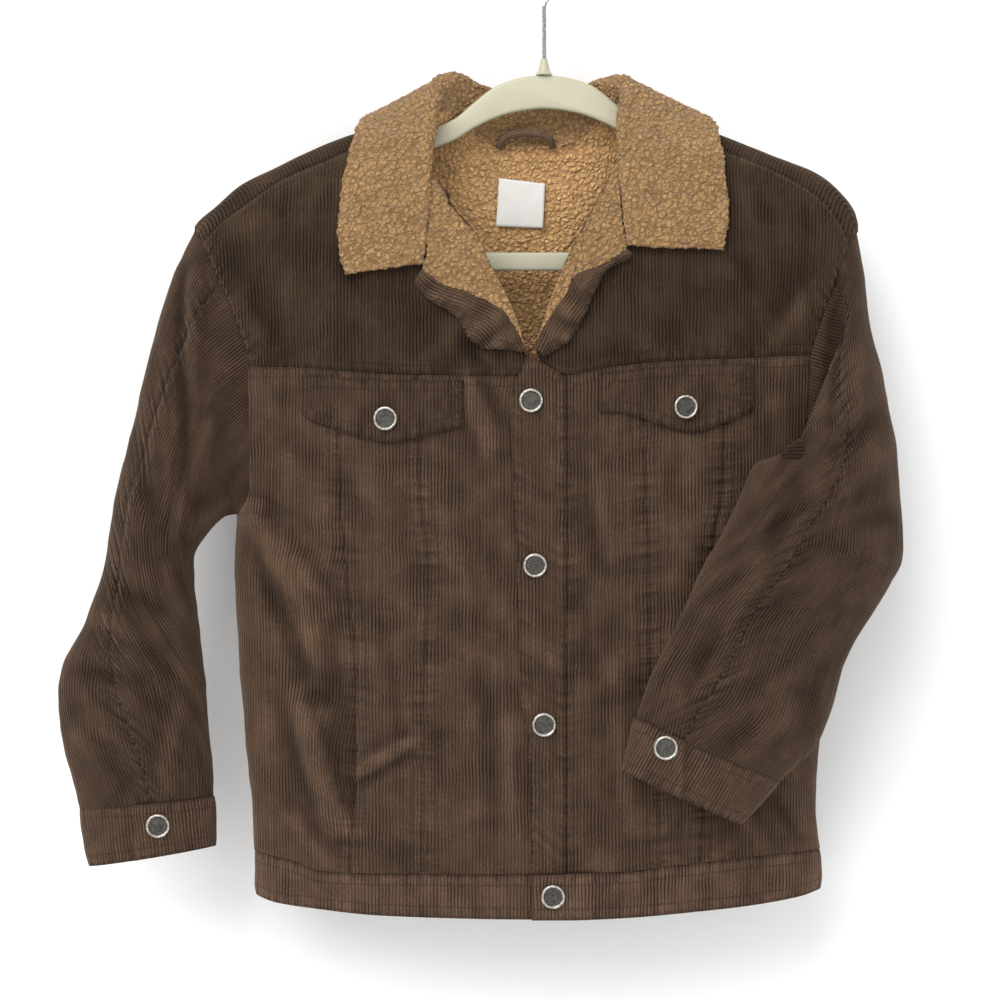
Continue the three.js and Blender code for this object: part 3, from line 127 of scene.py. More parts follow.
def ring_point(turn, drop):
    """The body's outer face: a turn of 0 is the left edge, half pi the front, pi the right edge."""
    left, right = read(BODY, drop, 0, 1), read(BODY, drop, 0, 2)
    c, s = np.cos(turn), np.sin(turn)
    x = (left + right) / 2 - (right - left) / 2 * np.sign(c) * np.abs(c) ** ROUNDNESS
    front = s > 0
    depth = np.where(front, read(BODY, drop, 0, 3), read(BODY, drop, 0, 4)) * np.abs(s) ** ROUNDNESS
    fold = np.where(front, fold_height(1, x, drop), fold_height(-1, x, drop))
    y = -np.sign(s) * (depth + fold * np.minimum(1, depth / 15))
    return np.stack([x, y, -drop + 0 * x], -1)


def turn_at(side, x, drop):
    """The turn of a place across the front (side 1) or the back (side -1)."""
    left, right = read(BODY, drop, 0, 1), read(BODY, drop, 0, 2)
    c = np.clip(((left + right) / 2 - x) / ((right - left) / 2), -1, 1)
    turn = np.arccos(np.sign(c) * np.abs(c) ** (1 / ROUNDNESS))
    return np.where(np.asarray(side) > 0, turn, 2 * np.pi - turn)


def on_body(turn, drop, out):
    """The same face, moved out of the cloth by a distance."""
    across = ring_point(turn + 0.002, drop) - ring_point(turn - 0.002, drop)
    down = ring_point(turn, drop + 0.1) - ring_point(turn, drop - 0.1)
    way = np.cross(down, across)
    way /= np.linalg.norm(way, axis=-1, keepdims=True)
    return ring_point(turn, drop) + way * np.asarray(out)[..., None]


def spread_out(cells_down, cells_across):
    """Even steps down and across a piece, from 0 to 1."""
    v, u = np.meshgrid(np.linspace(0, 1, cells_down + 1), np.linspace(0, 1, cells_across + 1), indexing="ij")
    return u, v


def flat_pattern(points, column, upright):
    """Where each point of a piece lies on its flat cut, across the wales and along them."""
    step = np.diff(points, axis=1)
    step = np.hypot(step[..., 0], step[..., 1]) if upright else np.linalg.norm(step, axis=-1)
    across = np.concatenate([np.zeros((len(points), 1)), np.cumsum(step, axis=1)], axis=1)
    columns, places = np.broadcast_to(column, len(points)), np.arange(points.shape[1])
    across -= np.array([[np.interp(at, places, line)] for at, line in zip(columns, across)])
    if upright:
        way = 1 if points[:, -1, 0].mean() > points[:, 0, 0].mean() else -1
        across += way * points[:, [column], 0]
    fall = np.linalg.norm(np.diff(points, axis=0), axis=-1)
    along = np.concatenate([np.zeros((1, points.shape[1])), np.cumsum(fall, axis=0)], axis=0)
    return across, along


def seam_distances(points, edges):
    """How far each point is from the nearest stitched edge, and how far along that edge."""
    across = np.linalg.norm(np.diff(points, axis=1), axis=-1)
    across = np.concatenate([np.zeros((len(points), 1)), np.cumsum(across, axis=1)], axis=1)
    down = np.linalg.norm(np.diff(points, axis=0), axis=-1)
    down = np.concatenate([np.zeros((1, points.shape[1])), np.cumsum(down, axis=0)], axis=0)
    choices = {
        "left": (across, down),
        "right": (across[:, [-1]] - across, down),
        "top": (down, across),
        "bottom": (down[[-1], :] - down, across),
    }
    nearest, along = np.full(across.shape, 500.0), np.zeros(across.shape)
    for edge in edges:
        closer = choices[edge][0] < nearest
        nearest = np.where(closer, choices[edge][0], nearest)
        along = np.where(closer, choices[edge][1], along)
    return nearest, along


def facing(points, closed):
    """The way out of a grid of points, to the left-hand side of its rows."""
    if closed:
        across = np.roll(points, -1, axis=1) - np.roll(points, 1, axis=1)
        across[:, [0, -1]] = (points[:, [1]] - points[:, [-2]])
    else:
        across = np.gradient(points, axis=1)
    way = np.cross(np.gradient(points, axis=0), across)
    way /= np.maximum(np.linalg.norm(way, axis=-1, keepdims=True), 1e-9)
    for _ in range(0 if closed else 3):
        wide = np.pad(way, ((1, 1), (1, 1), (0, 0)), mode="edge")
        way = 2 * way + wide[2:, 1:-1] + wide[:-2, 1:-1] + wide[1:-1, 2:] + wide[1:-1, :-2]
        way /= np.maximum(np.linalg.norm(way, axis=-1, keepdims=True), 1e-9)
    return way


def rumple(points, ways, height):
    """Slight unevenness of worn cloth, in two sizes."""
    lift = np.empty(points.shape[:2])
    for spot in np.ndindex(lift.shape):
        at = Vector(points[spot])
        lift[spot] = noise.noise(at / 34) + 0.45 * noise.noise(at / 11)
    return points + ways * (height * lift)[..., None]


def fold_highlight_and_shade(points, ways):
    """How far the cloth stands above what is round it, for a painted highlight on those crests and painted
    shade in the hollows.
    """
    near = np.pad(points, ((3, 3), (3, 3), (0, 0)), "edge")
    around = (near[:-6, 3:-3] + near[6:, 3:-3] + near[3:-3, :-6] + near[3:-3, 6:]) / 4
    return np.clip(((points - around) * ways).sum(-1), -1.0, 1.2)


CURL, CURL_SEED = 3.6, 3
noise.seed_set(CURL_SEED)


def curls(points):
    """The lumps of sherpa pile: rounded tufts with deep clefts between them."""
    lumps = np.empty(points.shape[:2])
    for spot in np.ndindex(lumps.shape):
        at = Vector(points[spot])
        at += 1.1 * noise.noise_vector(at / 3)
        near, next_near = noise.voronoi(at / CURL)[0][:2]
        tuft = min(1, 2.1 * (next_near - near)) ** 0.6 * (1 - 0.45 * near)
        lumps[spot] = tuft + 0.35 * noise.noise(at / 12) + 0.16 * noise.noise(at / 1.5)
    return lumps


MEET = 0.22
RAGGED, RAGGED_MIDDLE = 1.5, 0.45


def stretch_rims(points, reach):
    """Moves a cut's four rims outwards along the cloth: a little so that seams meet, or raggedly."""
    every, stretched = slice(None), points.copy()
    rims = (((0, every), (1, every)), ((-1, every), (-2, every)), ((every, 0), (every, 1)))
    for rim, next_in in (*rims, ((every, -1), (every, -2))):
        out = points[rim] - points[next_in]
        out /= np.maximum(np.linalg.norm(out, axis=-1, keepdims=True), 1e-6)
        stretched[rim] += reach[rim][..., None] * out
    return stretched


def cloth(
    name, points, thick, edges=(), outwards=0, column=None, upright=True, closed=False, uneven=0.7, dip=0.7,
    pile=0, stands_for=None, slot="corduroy",
):
    """One cut piece of cloth: a grid is laid on its points and given the cloth's thickness.

    A lining's hidden side takes the piece's second material.
    """
    rows, columns = points.shape[:2]
    column = columns // 2 if column is None else column
    flat = points
    ways = facing(points, closed)
    middle = np.array([points[..., 0].mean(), 0, points[..., 2].mean()])
    nearest, beside = seam_distances(points, edges)
    sign = outwards or np.sign(((points - middle) * ways).sum(-1).mean())
    ways = ways * sign
    lumps = np.zeros((rows, columns))
    if pile:
        lumps = curls(points)
        points = stretch_rims(points, RAGGED * (lumps - RAGGED_MIDDLE))
    else:
        points = rumple(points, ways, uneven * np.minimum(1, nearest / 12))
        # Kept as the tuft attribute, for the painted highlight and painted shade of the folds.
        lumps = fold_highlight_and_shade(points, ways)
        points = points if closed else stretch_rims(points, np.full(points.shape[:2], MEET))
    points = points - ways * (dip * np.exp(-((nearest / 3.0) ** 2)))[..., None]
    raised, inner = points + ways * (pile * lumps)[..., None], points - ways * thick
    across, along = flat_pattern(flat, column, upright)
    bm = bmesh.new()
    cut, seam = bm.loops.layers.uv.new("cut"), bm.loops.layers.uv.new("seam")
    tuft, order = bm.verts.layers.float.new("tuft"), bm.verts.layers.int.new("order")
    bmesh.ops.create_grid(bm, x_segments=columns - 1, y_segments=rows - 1, size=0.5)
    bm.verts.ensure_lookup_table()
    places = [
        (round((0.5 - v.co.y) * (rows - 1)), round((v.co.x + 0.5) * (columns - 1))) for v in bm.verts
    ]
    for face in bm.faces:
        for loop in face.loops:
            spot = places[loop.vert.index]
            loop[cut].uv = across[spot] / 1000, -along[spot] / 1000
            loop[seam].uv = nearest[spot] / 1000, beside[spot] / 1000
    for vert, spot in zip(bm.verts, places):
        vert.co = Vector(points[spot]) / 1000
        vert[tuft], vert[order] = lumps[spot], spot[0] * columns + spot[1]
    if sign < 0:
        bmesh.ops.reverse_faces(bm, faces=bm.faces[:])
    if closed:
        bmesh.ops.remove_doubles(bm, verts=bm.verts[:], dist=0.00002)
    bm.normal_update()
    outer = set(bm.verts)
    bmesh.ops.solidify(bm, geom=bm.faces[:], thickness=thick / 1000)
    for vert in bm.verts:
        vert.co = Vector((raised if vert in outer else inner)[divmod(vert[order], columns)]) / 1000
    for face in bm.faces:
        face.material_index = int(not any(vert in outer for vert in face.verts))
    bm.verts.layers.int.remove(order)
    mesh = bpy.data.meshes.new(name)
    bm.to_mesh(mesh)
    bm.free()
    mesh.shade_smooth()
    piece = bpy.data.objects.new(name, mesh)
    bpy.context.scene.collection.objects.link(piece)
    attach(piece, "root")
    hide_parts(stands_for or name.removesuffix("_cloth"))
    cells = np.cross(np.diff(flat, axis=0)[:, :-1], np.diff(flat, axis=1)[:-1])
    area = np.linalg.norm(cells, axis=-1).sum() / 1e6
    width, length = np.ptp(across) / 1000, along[-1].max() / 1000
    area = min(max(area, 0.31 * width * length), width * length)
    return piece


def link_math(tree, operation, first, second=None, third=None):
    """One sum in a material, from sockets or plain numbers."""
    node = tree.nodes.new("ShaderNodeMath")
    node.operation = operation
    for socket, value in zip(node.inputs, (first, second, third)):
        if isinstance(value, (int, float)):
            socket.default_value = value
        elif value is not None:
            tree.links.new(value, socket)
    return node.outputs[0]


def blend_colours(tree, amount, first, second, kind="MIX"):
    node = tree.nodes.new("ShaderNodeMix")
    node.data_type, node.blend_type = "RGBA", kind
    for socket, value in ((node.inputs[0], amount), (node.inputs[6], first), (node.inputs[7], second)):
        if isinstance(value, (int, float, tuple)):
            socket.default_value = value
        else:
            tree.links.new(value, socket)
    return node.outputs[2]


def uneven_tone(tree, place, size, detail=2.0):
    """A soft random value over a piece; size is how many of its spots go in a metre."""
    node = tree.nodes.new("ShaderNodeTexNoise")
    node.inputs["Scale"].default_value = size
    node.inputs["Detail"].default_value = detail
    tree.links.new(place, node.inputs["Vector"])
    return node.outputs["Fac"]


def needlecord_group():
    """Wales 2.4 mm apart that run down the cut, a worn nap, and two rows of stitches at seams, with painted
    shade and painted highlights on the grooves, puckers, seams and fold crests.
    """
    tree = bpy.data.node_groups.new("needlecord", "ShaderNodeTree")
    for name, kind, value in (
        ("Crest", "NodeSocketColor", (0.13, 0.085, 0.062, 1)),
        ("Groove", "NodeSocketColor", (0.04, 0.025, 0.018, 1)),
        ("Wale pitch", "NodeSocketFloat", 2.4),
        ("Stitch rows", "NodeSocketFloat", 1.0),
        ("Gathers", "NodeSocketFloat", 1.0),
    ):
        tree.interface.new_socket(name, in_out="INPUT", socket_type=kind).default_value = value
    for name, kind in (("Color", "NodeSocketColor"), ("Height", "NodeSocketFloat")):
        tree.interface.new_socket(name, in_out="OUTPUT", socket_type=kind)
    given, result = tree.nodes.new("NodeGroupInput").outputs, tree.nodes.new("NodeGroupOutput").inputs

    def map_of(name):
        chart, split = tree.nodes.new("ShaderNodeUVMap"), tree.nodes.new("ShaderNodeSeparateXYZ")
        chart.uv_map = name
        tree.links.new(chart.outputs[0], split.inputs[0])
        return chart.outputs[0], split.outputs[0], split.outputs[1]

    cut, across, along = map_of("cut")
    seam, from_seam, along_seam = map_of("seam")
    sway = uneven_tone(tree, cut, 55.0, 1.0)
    across_mm = link_math(tree, "MULTIPLY_ADD", sway, 2.2, link_math(tree, "MULTIPLY", across, 1000))
    phase = link_math(tree, "MULTIPLY", across_mm, 2 * math.pi)
    phase = link_math(tree, "DIVIDE", phase, given["Wale pitch"])
    wale = link_math(tree, "MULTIPLY_ADD", link_math(tree, "SINE", phase), 0.5, 0.5)
    wale = link_math(tree, "POWER", wale, 0.7)
    tufts = tree.nodes.new("ShaderNodeCombineXYZ")
    tree.links.new(link_math(tree, "MULTIPLY", across, 3.0), tufts.inputs[0])
    tree.links.new(along, tufts.inputs[1])
    nap = uneven_tone(tree, tufts.outputs[0], 420.0, 2.0)
    streaks = tree.nodes.new("ShaderNodeCombineXYZ")
    tree.links.new(across, streaks.inputs[0])
    tree.links.new(link_math(tree, "MULTIPLY", along, 0.04), streaks.inputs[1])
    streak = uneven_tone(tree, streaks.outputs[0], 330.0, 1.0)
    worn = uneven_tone(tree, cut, 34.0, 5.0)
    crushed = uneven_tone(tree, cut, 38.0, 3.0)
    crushed = link_math(tree, "MULTIPLY_ADD", crushed, 2.6, -0.6)
    crushed = link_math(tree, "MINIMUM", link_math(tree, "MAXIMUM", crushed, 0.5), 1.0)

    near = link_math(tree, "EXPONENT", link_math(tree, "MULTIPLY", from_seam, -1000 / 7.5))
    gathers = tree.nodes.new("ShaderNodeCombineXYZ")
    tree.links.new(link_math(tree, "MULTIPLY", from_seam, 0.12), gathers.inputs[0])
    tree.links.new(along_seam, gathers.inputs[1])
    pucker = link_math(tree, "SUBTRACT", uneven_tone(tree, gathers.outputs[0], 190.0, 1.0), 0.5)
    pucker = link_math(tree, "MULTIPLY", link_math(tree, "MULTIPLY", pucker, near), 8.5)
    pucker = link_math(tree, "MULTIPLY", pucker, given["Gathers"])
    rows = 0
    from_seam_mm = link_math(tree, "MULTIPLY", from_seam, 1000)
    for distance in (1.6, 7.4):
        off = link_math(tree, "ABSOLUTE", link_math(tree, "SUBTRACT", from_seam_mm, distance))
        off = link_math(tree, "MINIMUM", link_math(tree, "MULTIPLY", off, 1.25), 1.0)
        rows = link_math(tree, "ADD", link_math(tree, "SUBTRACT", 1.0, off), rows)
    rows = link_math(tree, "MULTIPLY", rows, given["Stitch rows"])
    stitch = link_math(tree, "SINE", link_math(tree, "MULTIPLY", along_seam, 2000 * math.pi / 3.0))
    stitch = link_math(tree, "GREATER_THAN", stitch, -0.35)
    thread = link_math(tree, "MULTIPLY", rows, stitch)

    height = link_math(tree, "MULTIPLY", link_math(tree, "MULTIPLY", wale, crushed), 0.55)
    height = link_math(tree, "MULTIPLY_ADD", nap, 0.22, height)
    height = link_math(tree, "ADD", height, pucker)
    height = link_math(tree, "MULTIPLY_ADD", rows, -0.75, height)
    height = link_math(tree, "MULTIPLY_ADD", thread, 0.3, height)
    tree.links.new(height, result["Height"])

    # The grooves between the wales take the darker colour. This is partly the bare ground weave between the
    # ridges and partly painted shade in the grooves.
    depth = link_math(tree, "MULTIPLY", crushed, link_math(tree, "SUBTRACT", 1.0, wale))
    colour = blend_colours(tree, depth, given["Crest"], given["Groove"])
    # On needlecord the tuft attribute holds the folds' crests and hollows: painted highlight on the crests
    # and painted shade in the creases.
    crest = tree.nodes.new("ShaderNodeAttribute")
    crest.attribute_name = "tuft"
    tone = link_math(tree, "MULTIPLY_ADD", streak, 0.6, 0.7)
    # The puckers are also painted paler on their rises and darker in their dips: painted highlight and
    # painted shade.
    for value, share, rest in (
        (worn, 1.1, 0.44), (nap, 1.3, 0.35), (pucker, 0.2, 1.0), (crest.outputs["Fac"], 0.38, 1.0),
    ):
        tone = link_math(tree, "MULTIPLY", tone, link_math(tree, "MULTIPLY_ADD", value, share, rest))
    # Painted shade darkens the seam's dip, and a painted highlight lightens the ridge of cloth beside it.
    seam_shade_and_highlight = link_math(tree, "MULTIPLY", from_seam, 1000 / 1.3)
    seam_shade_and_highlight = link_math(tree, "MINIMUM", link_math(tree, "MULTIPLY_ADD", seam_shade_and_highlight, 0.4, 0.68), 1.1)
    seam_ridge_highlight = link_math(tree, "MULTIPLY", near, 0.12)
    tone = link_math(tree, "MULTIPLY", tone, link_math(tree, "ADD", seam_shade_and_highlight, seam_ridge_highlight))
    shade = tree.nodes.new("ShaderNodeCombineColor")
    for socket in shade.inputs[:3]:
        tree.links.new(tone, socket)
    colour = blend_colours(tree, 1.0, colour, shade.outputs[0], "MULTIPLY")
    colour = blend_colours(tree, link_math(tree, "MULTIPLY", rows, 0.35), colour, (0.03, 0.018, 0.013, 1))
    tree.links.new(colour, result["Color"])
    return tree


NEEDLECORD = needlecord_group()


def needlecord(name, crest, groove, stitch_rows=1.0, pitch=2.4, gathers=1.0):
    """Corduroy of one colour: that of its crests, and that of the grooves between them."""
    material = bpy.data.materials.new(name)
    material.use_nodes = True
    tree = material.node_tree
    surface = tree.nodes["Principled BSDF"]
    surface.inputs["Roughness"].default_value = 0.92
    surface.inputs["Specular IOR Level"].default_value = 0.1
    surface.inputs["Sheen Weight"].default_value = 0.2
    surface.inputs["Sheen Roughness"].default_value = 0.45
    surface.inputs["Sheen Tint"].default_value = (0.70, 0.50, 0.36, 1)
    cord = tree.nodes.new("ShaderNodeGroup")
    cord.node_tree = NEEDLECORD
    cord.inputs["Crest"].default_value = (*crest, 1)
    cord.inputs["Groove"].default_value = (*groove, 1)
    cord.inputs["Stitch rows"].default_value = stitch_rows
    cord.inputs["Wale pitch"].default_value = pitch
    cord.inputs["Gathers"].default_value = gathers
    relief = tree.nodes.new("ShaderNodeBump")
    relief.inputs["Strength"].default_value = 0.9
    relief.inputs["Distance"].default_value = 0.001
    tree.links.new(cord.outputs["Color"], surface.inputs["Base Color"])
    tree.links.new(cord.outputs["Height"], relief.inputs["Height"])
    tree.links.new(relief.outputs[0], surface.inputs["Normal"])
    return material


FRONT_YOKE_SEAM = [  # x, drop
    (-240, 289.9), (-185, 290.6), (-96, 296.6), (8, 297.6), (50, 290.6), (100, 286.4), (133, 285),
    (220, 280.5),
]
FRONT_HEM_SEAM = [
    (-204, 628), (-177, 633.5), (-150, 641), (-110, 641.6), (-14, 641.4), (55, 639.7), (89, 636),
    (139, 630.7), (195, 627),
]
BACK_YOKE_SEAM = [(-240, 262), (-10, 270), (220, 260)]
BACK_HEM_SEAM = [
    (-204, 628), (-110, 637), (-10, 640), (100, 635), (195, 627),
]
LEFT_OUTER = [  # drop, x
    (292, -143.5), (387, -140.8), (444, -135.4), (500, -130.5), (564, -130.8), (645, -134.6),
]
LEFT_INNER = [
    (292, -88), (341, -87), (380, -85.6), (430, -80), (472, -81.4), (520, -83.5), (645, -83.5),
]
PLACKET_EDGE = [
    (283, -11.7), (294, -16.6), (304, -21), (323, -23.5), (380, -20.7), (454, -18), (513, -17),
    (560, -10.4), (645, -8.4),
]
PLACKET_SEAM = [(283, 12), (645, 12)]
UNDERLAP = [(283, 8), (645, 8)]
RIGHT_INNER = [
    (285, 66), (332, 67.6), (424, 71.8), (475, 72.5), (582, 78), (645, 80.5),
]
RIGHT_OUTER = [
    (280, 125), (380, 122.8), (404, 118), (480, 112), (645, 107),
]
BACK_LEFT = [(262, -112), (400, -92), (645, -74)]
BACK_RIGHT = [(262, 92), (400, 72), (645, 54)]
ARMHOLE = [  # drop, how far the armhole seam lies inside the side edge
    (192, 0), (197, 3.5), (204, 7.5), (214, 11), (230, 14.5), (247, 17), (279, 20), (292.5, 19.5),
    (310, 18.5), (346, 17), (378, 11), (388, 5.5), (393, 0),
]
SIDE_SEAM_TURN = 0.002
HALF = SEAM_GAP / 2


def level(rows):
    return lambda x: read(rows, x, 0, 1)


def upright_seam(rows, side, shift):
    return lambda drop: turn_at(side, read(rows, drop, 0, 1) + shift, drop)


def armhole(side, hand):
    """The armhole's turn on the body, and the side seam's below it."""
    def edge(drop):
        inset = np.where(drop < 393, read(ARMHOLE, np.maximum(drop, 192), 0, 1), 0)
        outer = read(BODY, drop, 0, 1 if hand == "left" else 2)
        turn = turn_at(side, outer + inset if hand == "left" else outer - inset, drop)
        low = 0 if side > 0 else np.pi
        return np.clip(turn, low + SIDE_SEAM_TURN, low + np.pi - SIDE_SEAM_TURN)
    return edge


def panel(name, left, right, top, bottom, edges, out=0, thick=CORDUROY, **details):
    """A piece of the body between two upright edges and two level ones."""
    corners = []
    for edge in (left, right):
        for line, shift, drop in ((top, HALF, 290.0), (bottom, -HALF, 640.0)):
            for _ in range(6):
                drop = float(line(ring_point(edge(drop), drop)[..., 0]))
            corners.append(drop + shift)
    high_left, low_left, high_right, low_right = corners
    width = float(np.linalg.norm(ring_point(left(450.0), 450.0) - ring_point(right(450.0), 450.0)))
    u, v = spread_out(max(4, round((low_left - high_left) / CELL)), max(4, round(width / CELL)))
    drop_left, drop_right = mix(high_left, low_left, v), mix(high_right, low_right, v)
    turn = mix(left(drop_left), right(drop_right), u)
    straight = mix(drop_left, drop_right, u)
    place = ring_point(turn, straight)[..., 0]
    rise = top(place) + HALF - mix(high_left, high_right, u)
    fall = bottom(place) - HALF - mix(low_left, low_right, u)
    drop = straight + rise * (1 - v) + fall * v
    lift = out(ring_point(turn, drop)[..., 0]) if callable(out) else np.full(turn.shape, float(out))
    return cloth(name, on_body(turn, drop, lift), thick, edges, **details)


front_cord = needlecord("front_needlecord", (0.0665, 0.0405, 0.0255), (0.0100, 0.0058, 0.0038))
yoke_top, hem_top = level(FRONT_YOKE_SEAM), level(FRONT_HEM_SEAM)
FRONT_PANELS = [
    ("front_side_left_cloth", armhole(1, "left"), upright_seam(LEFT_OUTER, 1, -HALF), ("right", "top")),
    (
        "front_middle_left_cloth", upright_seam(LEFT_OUTER, 1, HALF), upright_seam(LEFT_INNER, 1, -HALF),
        ("left", "right", "top"),
    ),
    (
        "front_centre_left_cloth", upright_seam(LEFT_INNER, 1, HALF), upright_seam(UNDERLAP, 1, 0),
        ("left", "top"),
    ),
    (
        "front_centre_right_cloth", upright_seam(PLACKET_SEAM, 1, HALF), upright_seam(RIGHT_INNER, 1, -HALF),
        ("left", "right", "top"),
    ),
    (
        "front_middle_right_cloth", upright_seam(RIGHT_INNER, 1, HALF), upright_seam(RIGHT_OUTER, 1, -HALF),
        ("left", "right", "top"),
    ),
    ("front_side_right_cloth", upright_seam(RIGHT_OUTER, 1, HALF), armhole(1, "right"), ("left", "top")),
]
for name, left, right, edges in FRONT_PANELS:
    panel(name, left, right, yoke_top, hem_top, edges).data.materials.append(front_cord)
back_top, back_hem_top = level(BACK_YOKE_SEAM), level(BACK_HEM_SEAM)
BACK_PANELS = [
    ("back_side_right_cloth", armhole(-1, "right"), upright_seam(BACK_RIGHT, -1, HALF), ("right", "top")),
    (
        "back_centre_cloth", upright_seam(BACK_RIGHT, -1, -HALF), upright_seam(BACK_LEFT, -1, HALF),
        ("left", "right", "top"),
    ),
    ("back_side_left_cloth", upright_seam(BACK_LEFT, -1, -HALF), armhole(-1, "left"), ("left", "top")),
]
for name, left, right, edges in BACK_PANELS:
    panel(name, left, right, back_top, back_hem_top, edges).data.materials.append(front_cord)

# Yokes. The front ones end at forward shoulder seams, and the back one comes over the shoulders
# to meet them, with its wales aslant there. They are laid out by the place across and the root
# of the drop below the shoulder line, less than nothing behind it.
SHOULDER_SEAMS = {
    "left": [(-239.6, 203.5), (-230, 192), (-202, 171), (-190, 162), (-160, 148), (-125, 134), (-90, 124)],
    "right": [(213.9, 205.5), (209, 193), (196, 175), (180, 163), (150, 148), (110, 134), (75, 125)],
}
NECK_EDGES = {
    "left": [
        (-90, 124), (-88, 150), (-84, 176), (-68, 194), (-53, 207), (-40, 226), (-30, 248), (-20, 270),
        (-13, 283), (7.5, 297.4),
    ],
    "right": [
        (75, 125), (66, 146), (52, 172), (40, 190), (28, 206), (16, 226), (6, 246), (-2, 266),
        (-6.5, 280), (12.3, 297.1),
    ],
}
BACK_NECK = [
    (-87, 2), (-84, -0.8), (-72, -3.3), (-50, -4.5), (-28, -4.85), (-10, -4.95), (8, -4.85), (30, -4.4),
    (53, -3.3), (67, -0.8), (72, 2),
]


def ridge(x):
    """The shoulder line's drop at a place across the body."""
    shoulder = BODY[BODY[:, 0] <= 192]
    return np.where(x < -10, read(shoulder[::-1], x, 1, 0), read(shoulder, x, 2, 0))


def on_shoulder(x, root, out):
    """The body's face over the shoulders, moved out of the cloth by a distance."""
    drop = ridge(x) + root * root
    return on_body(turn_at(np.where(root >= 0, 1, -1), x, drop), drop, out)


def rooted(side, pairs):
    """Turns pairs of place and drop into pairs of place and root."""
    x, drop = np.asarray(pairs, float).T
    return np.stack([x, side * np.sqrt(np.maximum(0, drop - ridge(x)))], -1)


def smooth_line(pairs, count):
    """Even points on a smooth curve through pairs."""
    pairs = np.asarray(pairs, float)
    ends = np.vstack([2 * pairs[0] - pairs[1], pairs, 2 * pairs[-1] - pairs[-2]])
    dense = []
    for a, b, c, d in zip(ends, ends[1:], ends[2:], ends[3:]):
        steps = [max(1e-6, np.linalg.norm(step)) ** 0.5 for step in (b - a, c - b, d - c)]
        knots = np.cumsum([0] + steps)
        for t in np.linspace(knots[1], knots[2], 13)[:-1]:
            ab = ((knots[1] - t) * a + (t - knots[0]) * b) / (knots[1] - knots[0])
            bc = ((knots[2] - t) * b + (t - knots[1]) * c) / (knots[2] - knots[1])
            cd = ((knots[3] - t) * c + (t - knots[2]) * d) / (knots[3] - knots[2])
            abc = ((knots[2] - t) * ab + (t - knots[0]) * bc) / (knots[2] - knots[0])
            bcd = ((knots[3] - t) * bc + (t - knots[1]) * cd) / (knots[3] - knots[1])
            dense.append(((knots[2] - t) * abc + (t - knots[1]) * bcd) / (knots[2] - knots[1]))
    dense = np.array(dense + [pairs[-1]])
    length = np.concatenate([[0], np.cumsum(np.linalg.norm(np.diff(dense, axis=0), axis=1))])
    at = np.linspace(0, length[-1], count + 1)
    return np.stack([np.interp(at, length, dense[:, k]) for k in range(pairs.shape[1])], -1)


def fill(top, bottom, left, right, rows=None):
    """Fills the space between four edges with a grid, its rows even or at given parts of the way."""
    v = (np.linspace(0, 1, len(left)) if rows is None else rows)[:, None, None]
    u = np.linspace(0, 1, len(top))[None, :, None]
    corners = mix(mix(top[0], top[-1], u), mix(bottom[0], bottom[-1], u), v)
    return mix(top[None], bottom[None], v) + mix(left[:, None], right[:, None], u) - corners


def shoulder_seam(hand, shift, count):
    return rooted(1, smooth_line(SHOULDER_SEAMS[hand], count) + (0, shift))


def armhole_line(side, hand, start, end, count):
    drop = np.linspace(start, end, count + 1)
    return rooted(side, np.stack([ring_point(armhole(side, hand)(drop), drop)[:, 0], drop], -1))


def seam_across(side, start, end, rows, count):
    x = np.linspace(start, end, count + 1)
    return rooted(side, np.stack([x, level(rows)(x) - SEAM_GAP], -1))


# A darker copy of the front's needlecord for the yokes and the under collar: painted shade.
yoke_cord = needlecord("yoke_needlecord", (0.0395, 0.0242, 0.0146), (0.0036, 0.0022, 0.0014))
DOWN, ACROSS = 52, 60
for hand, low in (("left", 289.8), ("right", 281.5)):
    top = shoulder_seam(hand, SEAM_GAP, ACROSS)
    arm = armhole_line(1, hand, SHOULDER_SEAMS[hand][0][1] + SEAM_GAP, low, DOWN)
    neck = smooth_line(rooted(1, NECK_EDGES[hand]), DOWN)
    bottom = seam_across(1, arm[-1][0], NECK_EDGES[hand][-1][0], FRONT_YOKE_SEAM, ACROSS)
    arm[0], arm[-1], neck[0], neck[-1] = top[0], bottom[0], top[-1], bottom[-1]
    chart = fill(top, bottom, arm, neck)
    points = on_shoulder(chart[..., 0], chart[..., 1], 0)
    yoke = cloth(f"front_yoke_{hand}_cloth", points, CORDUROY, ("bottom", "top", "left"), column=ACROSS // 3)
    yoke.data.materials.append(yoke_cord)

ALONG_SHOULDER, ALONG_NECK = 40, 60
over_left = shoulder_seam("left", -SEAM_GAP, ALONG_SHOULDER)
over_right = shoulder_seam("right", -SEAM_GAP, ALONG_SHOULDER)
neck = smooth_line([over_left[-1], *BACK_NECK, over_right[-1]], ALONG_NECK)
top = np.vstack([over_left[:-1], neck, over_right[::-1][1:]])
low_left = armhole_line(-1, "left", 261.4, 262.4, 1)[1]
low_right = armhole_line(-1, "right", 259.2, 260.2, 1)[1]
bottom = seam_across(-1, low_left[0], low_right[0], BACK_YOKE_SEAM, len(top) - 1)


def yoke_side(hand, first, last, end):
    """The armhole over the shoulder, from the forward seam to the yoke's lower seam."""
    over = [first, *armhole_line(1, hand, 200, 194, 3), *armhole_line(-1, hand, 194, end - 2, 20), last]
    rows = np.array([(-root, x) for x, root in over])
    root = np.linspace(first[1], last[1], DOWN + 1)
    return np.stack([read(rows, -root, 0, 1), root], -1)


left = yoke_side("left", top[0], bottom[0], 262.4)
right = yoke_side("right", top[-1], bottom[-1], 260.2)
chart = fill(top, bottom, left, right)
points = on_shoulder(chart[..., 0], chart[..., 1], 0)
back_yoke = cloth("back_yoke_cloth", points, CORDUROY, ("bottom", "left", "right"), uneven=0.5)
back_yoke.data.materials.append(yoke_cord)

